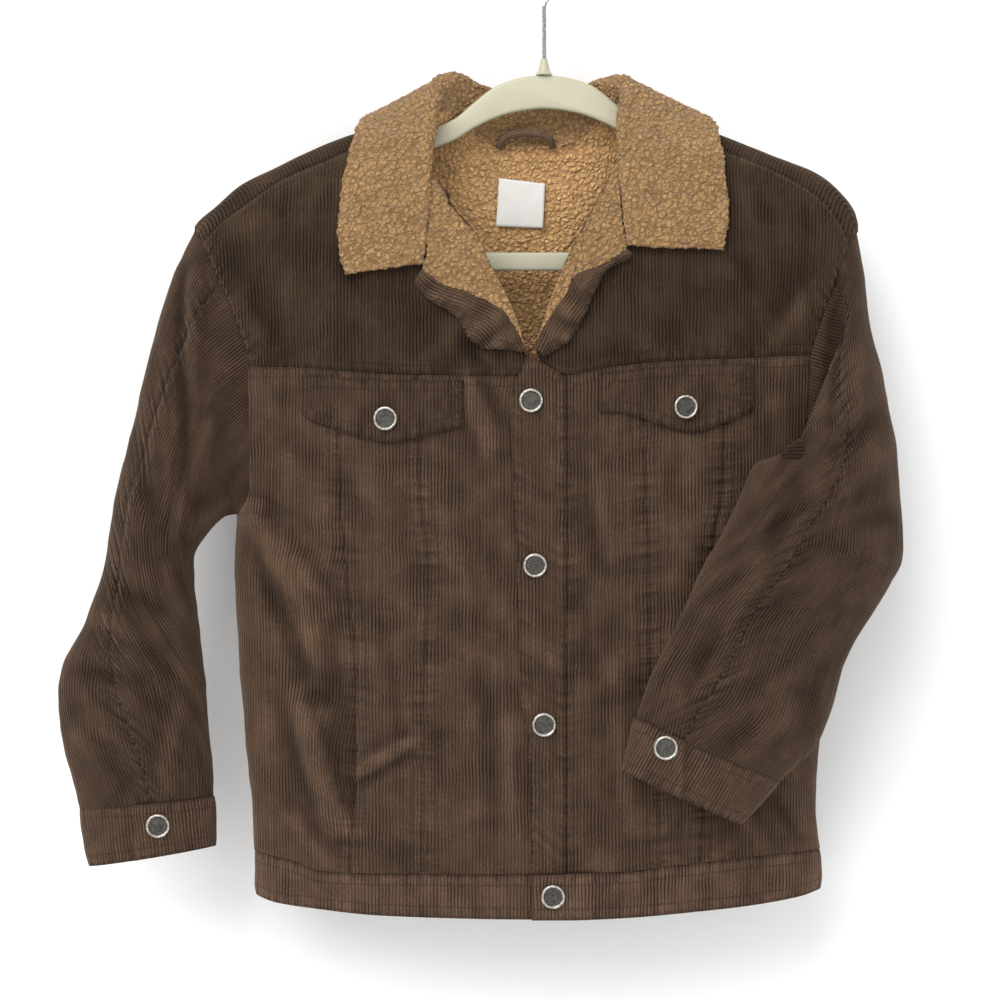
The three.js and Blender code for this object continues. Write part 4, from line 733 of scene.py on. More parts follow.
# Button band and hem bands. Each is needlecord folded double and topstitched. The right front's
# band and hem lie over the left front's, so both stand one layer further out there.
PLACKET_LAP, BAND = 2.0, 4.0
placket = panel(
    "placket_cloth", upright_seam(PLACKET_EDGE, 1, 0), upright_seam(PLACKET_SEAM, 1, PLACKET_LAP),
    lambda x: mix(281.5, 297.5, np.clip((x + 12) / 24, 0, 1)), hem_top, ("left", "right", "top"),
    out=CORDUROY + LAY_GAP, dip=0.4,
)
placket.data.materials.append(front_cord)
FRONT_HEM = [
    (-204, 659), (-188, 663.5), (-161, 666.6), (-113, 670.7), (-8, 672.8), (27, 672.8), (122, 666.5),
    (177, 659.5), (195, 655),
]
BACK_HEM = [
    (-204, 659), (-110, 668), (-10, 670), (100, 665), (195, 655),
]


def overlap(x):
    """How far the right hem band stands out where it lies over the left one."""
    t = np.clip((48 - x) / 32, 0, 1)
    return (BAND + LAY_GAP) * t * t * (3 - 2 * t)


def turn_line(x):
    return lambda drop: turn_at(1, x, drop)


HEM_BANDS = [
    ("hem_band_left_cloth", lambda drop: SIDE_SEAM_TURN, turn_line(6), FRONT_HEM_SEAM, FRONT_HEM, 0),
    (
        "hem_band_right_cloth", turn_line(-8.7), lambda drop: np.pi - SIDE_SEAM_TURN,
        FRONT_HEM_SEAM, FRONT_HEM, overlap,
    ),
    (
        "hem_band_back_cloth", lambda drop: np.pi + SIDE_SEAM_TURN, lambda drop: 2 * np.pi - SIDE_SEAM_TURN,
        BACK_HEM_SEAM, BACK_HEM, 0,
    ),
]
# A paler copy of the front's needlecord for the hem bands: painted light.
hem_cord = needlecord("hem_needlecord", (0.085, 0.0515, 0.0335), (0.0120, 0.0071, 0.0048))
for name, left, right, high, low, out in HEM_BANDS:
    top = (lambda rows: lambda x: read(rows, x, 0, 1) + SEAM_GAP)(high)
    band = panel(name, left, right, top, level(low), ("top", "bottom"), out=out, thick=BAND, uneven=1.0)
    band.data.materials.append(hem_cord)

# Sleeves. Each is a front and a back cut of needlecord, set into the armhole and sewn together
# down the outer arm, where the seam puckers. The left hangs down; the right comes forward and
# lies across the front. Each ring is a flattened oval between an outer and an inner edge.
SLEEVES = {  # outer edge x, y, drop; inner edge x, y, drop; front and back half depths; swell; turn
    "left": [
    (-262, -2, 229, -219.6, -2, 393.5, 25, 24, 12, 0),
    (-276, -3, 277, -226, -4, 396, 28, 26, 6, 0),
    (-288.4, -4, 328, -236, -6, 406, 29, 27, 2, 0),
    (-299, -5, 372, -245, -8, 421, 29, 27, 0, 0),
    (-305, -6, 408, -245, -9, 437, 29, 27, 0, 0),
    (-311, -8, 440, -243.5, -11, 456, 28, 26, 0, 2),
    (-322, -10, 469, -241, -13, 476, 27, 25, 0, 12),
    (-334, -12, 493, -239, -15, 497, 26, 24, 0, 22),
    (-340, -14, 516, -236.5, -17, 520, 25, 24, 0, 32),
    (-338, -16, 545, -233, -19, 550, 25, 23, 0, 40),
    (-331, -17, 573, -231, -20, 572, 24, 22, 0, 44),
    (-324, -18, 598, -230.5, -21, 590, 22, 21, 0, 46),
    ],
    "right": [
    (224, 0, 219, 203, -5, 394.5, 25, 23, 13, 0),
    (228, -6, 257, 202, -36, 386, 28, 18, 28, 4),
    (235, -19, 298, 170, -60, 366, 28, 14, 25, 12),
    (242, -20, 335, 147, -62, 356, 26, 18, 6, 26),
    (246, -20, 367, 133, -67, 382, 25, 18, 0, 40),
    (248.5, -23, 400, 119, -69, 409, 24, 18, 0, 50),
    (247.5, -26, 426, 111, -70, 422, 24, 18, 0, 54),
    (235, -30, 448, 107, -71, 430, 24, 18, 0, 56),
    (219, -36, 473, 102, -71, 440, 23, 17, 0, 58),
    (206, -40, 499, 97, -71, 452, 23, 17, 0, 60),
    (197, -43, 529, 87.6, -71, 473, 22, 17, 0, 61),
    (186, -46, 554, 76, -71, 495, 22, 17, 0, 62),
    (172, -49, 567, 68, -70, 513, 21, 17, 0, 62),
    (160.8, -51, 577, 61.4, -69, 532, 20, 17, 0, 62),
    ],
}
CUFFS = {
    "left": [
    (-324.5, -18, 599, -230, -21, 591, 22.5, 21.5, 0, 0),
    (-322, -19, 618, -229, -22, 607, 22.5, 21.5, 0, 0),
    (-318, -20, 638, -229, -23, 623, 21.5, 20.5, 0, 0),
    ],
    "right": [
    (161, -51, 578.2, 60.6, -69, 533, 20.5, 17.5, 0, 0),
    (149, -53, 592, 57, -68.5, 550, 20, 17.5, 0, 0),
    (135.5, -55, 606, 53, -68, 568, 19, 17, 0, 0),
    ],
}
SWELL_WAY = {"left": 1, "right": -1}
UPPER_ENDS = {"left": (50, 250), "right": (43, 272)}
SLEEVE_FOLDS = {  # x and drop of one end, of the other, height, spread
    "left": [
        (-256, 210, -247, 382, -3.2, 7), (-246, 226, -248, 312, 2.6, 5), (-232, 330, -252, 392, 2.2, 6),
        (-246, 406, -222, 384, 2.8, 5), (-292, 330, -262, 420, -2.0, 9), (-300, 440, -262, 462, -2.4, 8),
        (-318, 462, -268, 480, 2.2, 7), (-330, 500, -280, 508, -1.8, 7), (-326, 540, -300, 576, 1.8, 8),
        (-250, 500, -262, 580, 1.6, 8), (-285, 470, -292, 560, 1.4, 10),
    ],
    "right": [
        (205, 228, 196, 330, -2.6, 6), (216, 240, 214, 330, 2.2, 7), (232, 322, 196, 352, -2.8, 8),
        (240, 340, 205, 378, 2.4, 8), (246, 392, 210, 402, -2.0, 8), (176, 372, 150, 420, -1.8, 8),
        (236, 440, 206, 452, 1.8, 9), (150, 420, 118, 480, 1.6, 8), (190, 400, 140, 500, -1.3, 12),
        (212, 480, 176, 520, -1.8, 9), (120, 470, 96, 510, -1.6, 6), (170, 520, 130, 560, 1.6, 8),
    ],
}


def finer(grid, count, axis, closed=False):
    """A grid with more steps between its rows, on a smooth curve through them."""
    grid = np.moveaxis(grid, axis, 0)
    n = len(grid)
    last = n if closed else n - 1
    at = np.linspace(0, last, last * count + 1)
    i = np.minimum(at.astype(int), last - 1)
    t = (at - i).reshape(-1, *[1] * (grid.ndim - 1))
    if closed:
        before, start, end, after = (grid[(i + k) % n] for k in (-1, 0, 1, 2))
    else:
        longer = np.concatenate([2 * grid[:1] - grid[1:2], grid, 2 * grid[-1:] - grid[-2:-1]])
        before, start, end, after = (longer[i + k] for k in (0, 1, 2, 3))
    cubic = (3 * start - before - 3 * end + after) * t**3 + (2 * before - 5 * start + 4 * end - after) * t**2
    return np.moveaxis(start + 0.5 * (cubic + (end - before) * t), 0, axis)


def sleeve_ring(row, angles, way):
    """One oval section of the sleeve, at given angles from its outer edge round by the front."""
    outer, inner = np.array(row[0:3]) * (1, 1, -1), np.array(row[3:6]) * (1, 1, -1)
    front, back, swell, turn = row[6:]
    middle, reach = (outer + inner) / 2, (outer - inner) / 2
    axis = reach / np.linalg.norm(reach)
    forward = np.array([0.0, -1, 0]) + axis[1] * axis
    forward /= np.linalg.norm(forward)
    c, s = np.cos(angles + math.radians(turn))[:, None], np.sin(angles + math.radians(turn))[:, None]
    ring = middle + reach * c + forward * np.where(s > 0, s * front, s * back)
    ring[:, 0] += (way * swell * np.where(s > 0, s * s, 0.5 * s * s))[:, 0]
    return ring


ARMHOLE_TUCK = 1.5
SLEEVE_FOLD_STRENGTH = 1.6


def armhole_ring(hand):
    """The armhole seam on the body, from the shoulder tip down the front and up the back."""
    drops = [row[0] for row in ARMHOLE]
    away = -1 if hand == "left" else 1
    ring, angles = [], []
    for side, drop in [(1, d) for d in drops] + [(-1, d) for d in drops[-2:0:-1]]:
        point = on_body(armhole(side, hand)(drop), np.array(float(drop)), -1.0)
        point[0] -= away * ARMHOLE_TUCK
        ring.append(point)
        angle = math.acos(1 - 2 * (drop - drops[0]) / (drops[-1] - drops[0]))
        angles.append(angle if side > 0 else 2 * math.pi - angle)
    return np.array(ring), np.array(angles)


def fold_sleeve(points, hand, sign):
    """Presses the sleeve's own folds into its front, and like ones into its back."""
    ways = facing(points, True) * sign
    x, drop = points[..., 0], -points[..., 2]
    side = np.where(ways[..., 1] < 0, -ways[..., 1], 0.8 * ways[..., 1])
    for fold in SLEEVE_FOLDS[hand]:
        points = points + ways * (SLEEVE_FOLD_STRENGTH * fold_at(fold, x, drop) * side)[..., None]
    return points


WALE_COLUMNS = {  # where the straight wale runs at the armhole and at the cuff, across each cut
    "left": {"front": (0.16, 0.5), "back": (0.6, 0.4)},
    "right": {"front": (0.35, 0.55), "back": (0.5, 0.4)},
}
# A darker copy of the front's needlecord for the sleeves: painted shade.
sleeve_cord = needlecord("sleeve_needlecord", (0.0485, 0.0293, 0.0188), (0.0076, 0.0044, 0.0029), gathers=1.7)
PER_RING, PER_ANGLE = 8, 5
for hand, sign in (("left", 1), ("right", -1)):
    ring, angles = armhole_ring(hand)
    coarse = np.array([ring, *(sleeve_ring(row, angles, SWELL_WAY[hand]) for row in SLEEVES[hand])])
    tube = finer(finer(coarse, PER_RING, 0), PER_ANGLE, 1, closed=True)[:, :-1]
    tube = fold_sleeve(np.concatenate([tube, tube[:, :1]], axis=1), hand, sign)[:, :-1]
    settle = np.clip((np.linspace(0, 1, len(tube)) - 0.1) / 0.6, 0, 1)
    start, end = (int(np.argmax(angles > math.radians(a))) * PER_ANGLE for a in UPPER_ENDS[hand])
    around = tube.shape[1]
    for half, first, last in (("front", start, end), ("back", end, start + around)):
        points = tube[:, np.arange(first, last + 1) % around]
        cut = cloth(
            f"sleeve_{half}_{hand}_cloth", points, CORDUROY, ("left", "right"), outwards=sign, upright=False,
            column=(last - first) * mix(*WALE_COLUMNS[hand][half], settle), uneven=1.1,
        )
        cut.data.materials.append(sleeve_cord)

# Cuffs. A band of needlecord folded double round the end of each sleeve. It is slit and lapped at
# the front, where its snap goes through both layers, and its upper rim meets the sleeve.
CUFF_LAP = {"left": (-284, 1), "right": (94, -1)}
CUFF_LAP_STEP, CUFF_REACH = 1.8, 1.8
cuff_cord = needlecord("cuff_needlecord", (0.066, 0.040, 0.0258), (0.0095, 0.0056, 0.0038))
even = np.linspace(0, 2 * math.pi, 25)[:-1]
for hand, sign in (("left", 1), ("right", -1)):
    coarse = np.array([sleeve_ring(row, even, SWELL_WAY[hand]) for row in CUFFS[hand]])
    tube = finer(finer(coarse, 7, 0), 5, 1, closed=True)
    up = tube[0] - tube[1]
    tube[0] += CUFF_REACH * up / np.linalg.norm(up, axis=-1, keepdims=True)
    lap_edge, lap_way = CUFF_LAP[hand]
    ways = facing(tube, True) * sign
    lapped = np.clip((tube[..., 0] - lap_edge) * lap_way / 2, 0, 1) * np.clip(-3 * ways[..., 1], 0, 1)
    tube = tube + CUFF_LAP_STEP * ways * lapped[..., None]
    cuff = cloth(
        f"cuff_{hand}_cloth", tube, CORDUROY + 1, ("top", "bottom"), outwards=sign, upright=False,
        closed=True, column=30, uneven=1.0, dip=0.5,
    )
    cuff.data.materials.append(cuff_cord)

# Pocket flaps. A pointed flap of doubled needlecord, sewn into the seam below each front yoke and
# topstitched round its edge. It lies a little proud of the panel, and a snap holds its point.
FLAPS = {
    "left": ([(-167, 296.6), (-112, 300.4), (-56.6, 301)],
             [(-167, 323.7), (-158, 328.6), (-121.4, 341), (-108.3, 343.4), (-95, 340.6), (-56.6, 332)]),
    "right": ([(37.5, 295.4), (90, 290.6), (142.8, 288.6)],
              [(37.5, 322), (52, 322.6), (88, 334), (99, 336.6), (108, 335), (142.8, 321.6)]),
}
flap_cord = needlecord("flap_needlecord", (0.054, 0.033, 0.0208), (0.0082, 0.0048, 0.0031))


def lay_on_body(side, chart, lift):
    """A flat chart of places and drops, laid on one side of the body at a lift from its face."""
    x, drop = chart[..., 0], chart[..., 1]
    return on_body(turn_at(side, x, drop), drop, lift)


for hand, (top, bottom) in FLAPS.items():
    sides = [np.linspace(top[k], bottom[k], 15) for k in (0, -1)]
    chart = fill(smooth_line(top, 40), smooth_line(bottom, 40), *sides)
    u, v = spread_out(14, 40)
    lift = LAY_GAP + CORDUROY + 0.9 + 0.8 * np.sin(u * 9 + (hand == "left")) * v**2
    flap = cloth(
        f"pocket_flap_{hand}_cloth", lay_on_body(1, chart, lift), CORDUROY + 0.5,
        ("top", "left", "right", "bottom"), dip=0.5,
    )
    flap.data.materials.append(flap_cord)

# Collar. One strip of sherpa from notch to notch, standing round the neck, rolled over and lying
# on the yokes, with needlecord beneath its fall. The tufts are real lumps, so its edge is soft.
COLLAR = [  # neck seam x, y, drop; roll line x, y, drop; free edge x, y, drop; fold radius
    (-90, -41.5, 219, -84, -45, 219, -138, -43, 227, 3.6),
    (-88, -36, 178, -80, -40, 178, -143, -42, 207, 4.2),
    (-84, -29, 150, -79, -35, 150, -142, -37, 178, 5), (-78, -17, 127, -77, -24, 118, -137, -28, 146, 6),
    (-73, -2, 111, -74, -7, 93, -125, 1, 113, 7), (-58, 11, 118, -62, 10, 82, -103, 30, 118, 7.5),
    (-36, 17, 132, -38, 24, 91, -64, 42, 146, 7.5), (-10, 18, 135, -8, 30, 96, -8, 45, 158, 7.5),
    (17, 17, 132, 22, 25, 92, 48, 42, 146, 7.5), (40, 11, 117, 44, 11, 85, 92, 30, 118, 7.5),
    (59, -2, 104, 55, -7, 91, 116, 1, 114, 7), (55, -17, 126, 52, -24, 118, 124, -27, 142, 6),
    (57, -29, 150, 52, -35, 150, 126, -35, 166, 5), (61, -36, 178, 54, -40, 178, 127, -40, 188, 4.2),
    (63, -41, 207, 57, -44.5, 207, 123, -42, 210, 3.6),
]
COLLAR_BACKING = 1.5
SHERPA = 4.0


def collar_stations(count):
    rows = np.array(COLLAR, float)
    rows[:, [2, 5, 8]] *= -1
    lines = np.concatenate([finer(rows[:, :9], count, 0), finer(rows[:, 9:], count, 0)], axis=1)
    return [(row[0:3], row[3:6], row[6:9], row[9]) for row in lines]


def unit(way):
    return way / np.linalg.norm(way)


def collar_section(neck, roll, edge, radius):
    """From the neck seam up the stand, over the roll and down the fall, with the way inwards."""
    to_neck, to_edge = unit(neck - roll), unit(edge - roll)
    up = -unit(to_neck + to_edge)
    out = edge - neck
    out = unit(out - up * out.dot(up))
    centre = roll - up * radius
    turns = np.radians([-90, -45, 0, 45, 90])
    arc = [centre + radius * (out * math.sin(a) + up * math.cos(a)) for a in turns]
    fall = [mix(arc[4], edge, t) for t in (0.33, 0.67, 1.0)]
    run = unit(np.cross(edge - arc[4], out))
    under = unit(np.cross(run, unit(edge - arc[4])))
    under = -under if under.dot(out) > 0 else under
    stand_side = unit(out - to_neck * out.dot(to_neck))
    inward = [stand_side, *(unit(centre - p) for p in arc), under, under, under]
    return np.array([neck, *arc, *fall]), np.array(inward)


u, v = spread_out(30, 100)
upper_turn, upper_drop = u * 2 * np.pi, mix(113, 245, v * v)
upper_body = on_body(upper_turn, upper_drop, 0 * u).reshape(-1, 3)
upper_ways = on_body(upper_turn, upper_drop, 0 * u + 1).reshape(-1, 3) - upper_body


def clear_of_body(point, least):
    """Lifts a point of the collar's fall so that it clears the yokes."""
    near = np.argmin(((upper_body - point) ** 2).sum(1))
    height = (point - upper_body[near]).dot(upper_ways[near])
    return point + upper_ways[near] * max(0, least - height)


def collar_layer(stations, first, depth):
    layer = []
    for station in stations:
        face, inward = collar_section(*station)
        thick = min(SHERPA, station[3] - 0.5)
        row = []
        for j in range(first, len(face)):
            point = face[j] + inward[j] * depth(thick)
            least = LAY_GAP + 0.3 + COLLAR_BACKING + SEAM_GAP + thick - depth(thick)
            row.append(clear_of_body(point, least) if j > 5 else point)
        layer.append(row)
    return np.array(layer)


def sherpa(name, light, dark, depth=0.0028):
    """Curly pile: a painted highlight on the tips and tops of the tufts, painted shade in the clefts, and a
    fine fuzz over each tuft.
    """
    material = bpy.data.materials.new(name)
    material.use_nodes = True
    tree = material.node_tree
    surface = tree.nodes["Principled BSDF"]
    surface.inputs["Roughness"].default_value = 1.0
    surface.inputs["Specular IOR Level"].default_value = 0.1
    surface.inputs["Sheen Weight"].default_value = 0.25
    surface.inputs["Sheen Roughness"].default_value = 0.6
    surface.inputs["Sheen Tint"].default_value = (1.0, 0.86, 0.70, 1)
    tuft, place = tree.nodes.new("ShaderNodeAttribute"), tree.nodes.new("ShaderNodeTexCoord")
    tuft.attribute_name = "tuft"
    fuzz = uneven_tone(tree, place.outputs["Object"], 1500.0, 3.0)
    wander = tree.nodes.new("ShaderNodeTexNoise")
    wander.inputs["Scale"].default_value = 260.0
    wander.inputs["Detail"].default_value = 1.0
    bent = tree.nodes.new("ShaderNodeVectorMath")
    bent.operation = "MULTIPLY_ADD"
    bent.inputs[1].default_value = (0.0042, 0.0042, 0.0042)
    tree.links.new(place.outputs["Object"], wander.inputs["Vector"])
    tree.links.new(wander.outputs["Color"], bent.inputs[0])
    tree.links.new(place.outputs["Object"], bent.inputs[2])
    curl = tree.nodes.new("ShaderNodeTexVoronoi")
    curl.feature = "SMOOTH_F1"
    curl.inputs["Scale"].default_value = 290.0
    curl.inputs["Smoothness"].default_value = 0.5
    tree.links.new(bent.outputs[0], curl.inputs["Vector"])
    tip = link_math(tree, "SUBTRACT", 1.05, link_math(tree, "MULTIPLY", curl.outputs["Distance"], 1.5))
    tip = link_math(tree, "MAXIMUM", tip, 0.0)
    cleft = tree.nodes.new("ShaderNodeTexVoronoi")
    cleft.feature = "DISTANCE_TO_EDGE"
    cleft.inputs["Scale"].default_value = 290.0
    tree.links.new(bent.outputs[0], cleft.inputs["Vector"])
    rounded = link_math(tree, "MINIMUM", link_math(tree, "MULTIPLY", cleft.outputs["Distance"], 3.0), 1.0)
    rounded = link_math(tree, "POWER", rounded, 0.8)
    patches = uneven_tone(tree, place.outputs["Object"], 45.0, 2.0)
    # The colour runs from dark in the clefts to light on the tufts' tips and tops: painted shade and painted
    # highlight.
    amount = link_math(tree, "MULTIPLY", tuft.outputs["Fac"], 0.25)
    amount = link_math(tree, "MULTIPLY_ADD", fuzz, 0.4, amount)
    amount = link_math(tree, "MULTIPLY_ADD", rounded, 0.4, link_math(tree, "SUBTRACT", amount, 0.12))
    amount = link_math(tree, "MULTIPLY_ADD", tip, 0.75, amount)
    colour = blend_colours(tree, amount, (*dark, 1), (*light, 1))
    tone = link_math(tree, "MULTIPLY_ADD", patches, 0.5, 0.75)
    shade = tree.nodes.new("ShaderNodeCombineColor")
    for socket in shade.inputs[:3]:
        tree.links.new(tone, socket)
    colour = blend_colours(tree, 1.0, colour, shade.outputs[0], "MULTIPLY")
    tree.links.new(colour, surface.inputs["Base Color"])
    relief = tree.nodes.new("ShaderNodeBump")
    relief.inputs["Strength"].default_value = 1.0
    relief.inputs["Distance"].default_value = depth
    dome = link_math(tree, "MULTIPLY_ADD", rounded, 0.35, tip)
    tree.links.new(link_math(tree, "MULTIPLY_ADD", fuzz, 0.25, dome), relief.inputs["Height"])
    tree.links.new(relief.outputs[0], surface.inputs["Normal"])
    return material


collar_pile = sherpa("collar_sherpa", (0.50, 0.288, 0.118), (0.15, 0.076, 0.027))
collar_face = collar_layer(collar_stations(3), 0, lambda thick: 0)
collar_core = collar_layer(collar_stations(3), 0, lambda thick: 0.5)
outside = np.sign(((collar_face - collar_core) * facing(collar_face, False)).sum())
collar_grid = finer(finer(collar_face, 9, 0), 11, 1)
collar = cloth("collar_cloth", collar_grid, SHERPA - 0.6, outwards=outside, upright=False, uneven=0, pile=1.5)
collar.data.materials.append(collar_pile)
under_face = collar_layer(collar_stations(3), 6, lambda thick: thick + SEAM_GAP)
under_collar = cloth(
    "under_collar_cloth", finer(finer(under_face, 3, 0), 9, 1), COLLAR_BACKING, ("right",), outwards=outside,
    upright=False, dip=0,
)
under_collar.data.materials.append(yoke_cord)

# Turned-back fronts. The sherpa lining shows between the collar's roll and the opening's edge,
# and below it a ruffled strip of the needlecord facing.
TURNED = {
    "left": {
        "roll": [
            (-77.6, 158), (-59.3, 187), (-44.9, 203.6), (-37.3, 221.5), (-29, 236.7), (-22, 252.6),
            (-15.2, 272), (-13.6, 279.6),
        ],
        "gorge": [(-78.4, 157), (-79.4, 177), (-82.8, 219), (-85, 224.6)],
        "join": [
            (-85, 224.6), (-70, 235), (-51, 241.6), (-36, 248.5), (-27, 255.4), (-18, 271), (-13.6, 279.6),
        ],
        "facing_end": [
            (-89.7, 234.6), (-79.4, 245.7), (-63.5, 255.4), (-51, 270), (-41.4, 278.8), (-29, 279.6),
            (-21.4, 280.6), (-16.2, 282),
        ],
    },
    "right": {
        "roll": [
            (49.6, 149), (31.7, 183.6), (21.4, 203.6), (12.4, 222), (4.8, 241.5), (-1.4, 260.9),
            (-7.4, 277.6),
        ],
        "gorge": [(50.8, 148), (52.4, 176), (55.6, 206), (56.2, 210.5)],
        "join": [(56.2, 210.5), (39, 221.5), (21.4, 228.4), (14.5, 241.6), (2.8, 258.8), (-7.4, 277.6)],
        "facing_end": [(60, 216), (42.8, 225), (35.9, 236.7), (25.5, 258.8), (15.2, 274.7), (-0.7, 284)],
    },
}
backing = needlecord("lining_backing", (0.026, 0.016, 0.0105), (0.012, 0.0074, 0.005), 0.0, 1.6)
for hand, lines in TURNED.items():
    top = smooth_line([lines["gorge"][0], lines["roll"][0]], 56)
    bottom, left = smooth_line(lines["join"], 56), smooth_line(lines["gorge"], 90)
    chart = fill(top, bottom, left, smooth_line(lines["roll"], 90))
    points = lay_on_body(1, chart, LAY_GAP + SHERPA - 0.6)
    lapel = cloth(f"lapel_lining_{hand}_cloth", points, SHERPA - 0.8, uneven=0, pile=1.4)
    lapel.data.materials.append(collar_pile)
    lapel.data.materials.append(backing)
    top, bottom = smooth_line(lines["join"], 48), smooth_line(lines["facing_end"], 48)
    chart = fill(top, bottom, np.linspace(top[0], bottom[0], 12), np.linspace(top[-1], bottom[-1], 12))
    along, from_roll = np.linspace(0, 1, 49)[None], np.linspace(0, 1, 12)[:, None]
    ruffle = 2.3 * np.sin(22 * along + 2.5 * from_roll + 1.4 * np.sin(9 * along)) * (0.25 + 0.75 * from_roll)
    ruffle += 3.2 * np.sin(np.pi * from_roll)
    points = lay_on_body(1, chart, LAY_GAP + CORDUROY + 2.2 + ruffle)
    facing_strip = cloth(
        f"front_facing_{hand}_cloth", points.transpose(1, 0, 2), CORDUROY, ("right",), upright=False,
        column=0, dip=0.2,
    )
    facing_strip.data.materials.append(front_cord)

# Lining. Sherpa inside the fronts and the back, seen in the neck opening and from below. The
# tufts are fine where they show at the neck, and coarse lower down, where nothing is seen.
LINING_GAP, LINING_SLACK = 0.9, 6.0
BACK_LINING = (138.2, 630)


def inside_depth(drop, high, low):
    t = np.clip((np.minimum(drop - high, low - drop) - 2) / 43, 0, 1)
    return -CORDUROY - LINING_GAP - t * t * (3 - 2 * t) * LINING_SLACK


# The lining's sherpa is the collar's pile painted about 1.6 times paler: painted light against the shade
# inside the jacket.
lining_pile = sherpa("lining_sherpa", (0.80, 0.465, 0.20), (0.33, 0.178, 0.072), depth=0.0019)
for name, start, end in (("lining_front_left_cloth", -186, -6), ("lining_front_right_cloth", 16, 172)):
    u, v = spread_out(96, 52)
    drop = mix(302, 626, v)
    points = on_body(turn_at(1, mix(start, end, u), drop), drop, inside_depth(drop, 302, 626) - SHERPA)
    front_lining = cloth(name, points, SHERPA - 0.8, outwards=-1, uneven=0, pile=1.2)
    front_lining.data.materials.append(lining_pile)
    front_lining.data.materials.append(backing)
LINING_TOP = [
    (-150, 164), (-110, 160), (-84, 160), (-58, 144), (-34, 138.4), (-10, 138.2), (14, 138.4), (42, 140.5),
    (70, 148), (98, 155), (134, 164),
]
rows = np.concatenate([np.linspace(0, 0.3, 105)[:-1], np.linspace(0.3, 1, 46)])
top, bottom = smooth_line(LINING_TOP, 250), smooth_line([(-186, 624), (-10, 632), (176, 624)], 250)
left = smooth_line([LINING_TOP[0], (-186, 250), (-186, 400), (-186, 624)], 1000)[(rows * 1000).astype(int)]
right = smooth_line([LINING_TOP[-1], (168, 250), (172, 400), (176, 624)], 1000)[(rows * 1000).astype(int)]
chart = fill(top, bottom, left, right, rows)
points = lay_on_body(-1, chart, inside_depth(chart[..., 1], *BACK_LINING) - SHERPA)
back_lining = cloth("lining_back_cloth", points, SHERPA - 0.8, outwards=1, uneven=0, pile=1.2)
back_lining.data.materials.append(lining_pile)
back_lining.data.materials.append(backing)

# Neck part of the lining. The same sherpa, from the back's lining up to the collar's seam, where
# the back of the neck would otherwise show bare corduroy.
sections = [collar_section(*station) for station in collar_stations(1)[2:13]]
seam_line = np.array([face[0] for face, inward in sections])
seam_ways = np.array([inward[0] for face, inward in sections])
neck_line = smooth_line([(-98, 1.6), (-92, 2.0), *BACK_NECK, (78, 2.0), (84, 1.6)], 190)
below_top = [(x, drop + 3) for x, drop in [(-104, 160), *LINING_TOP[2:9], (92, 154)]]
lining_line = smooth_line(rooted(-1, below_top), 190)
loft = [smooth_line(seam_line - 0.8 * seam_ways + (0, 0, 1.5), 190)]
for t, depth in ((0.0, -4.2), (0.35, -5.4), (0.7, -6.8), (1.0, -CORDUROY - LINING_GAP - SHERPA - 0.5)):
    x, root = mix(neck_line, lining_line, t).T
    loft.append(on_shoulder(x, root, depth + 0 * x))
neck_lining = cloth(
    "lining_neck_cloth", finer(np.array(loft), 9, 0), 2.5, outwards=1, uneven=0, pile=1.2,
    stands_for="lining_back",
)
neck_lining.data.materials.append(lining_pile)

# Snaps. A pressed steel cap with a raised bright rim round a dull sunk centre. Each is pressed
# through the cloth onto a stud, and stands square to the cloth that it closes.
def metal(name, colour, rough, scratches):
    material = bpy.data.materials.new(name)
    material.use_nodes = True
    tree = material.node_tree
    surface = tree.nodes["Principled BSDF"]
    surface.inputs["Metallic"].default_value = 1.0
    place = tree.nodes.new("ShaderNodeTexCoord").outputs["Object"]
    worn = uneven_tone(tree, place, 700.0, 3.0)
    tree.links.new(link_math(tree, "MULTIPLY_ADD", worn, scratches, rough), surface.inputs["Roughness"])
    patchy = link_math(tree, "MULTIPLY_ADD", worn, 3.0, -0.9)
    dull = (*[0.35 * c for c in colour], 1)
    tree.links.new(blend_colours(tree, patchy, dull, (*colour, 1)), surface.inputs["Base Color"])
    return material


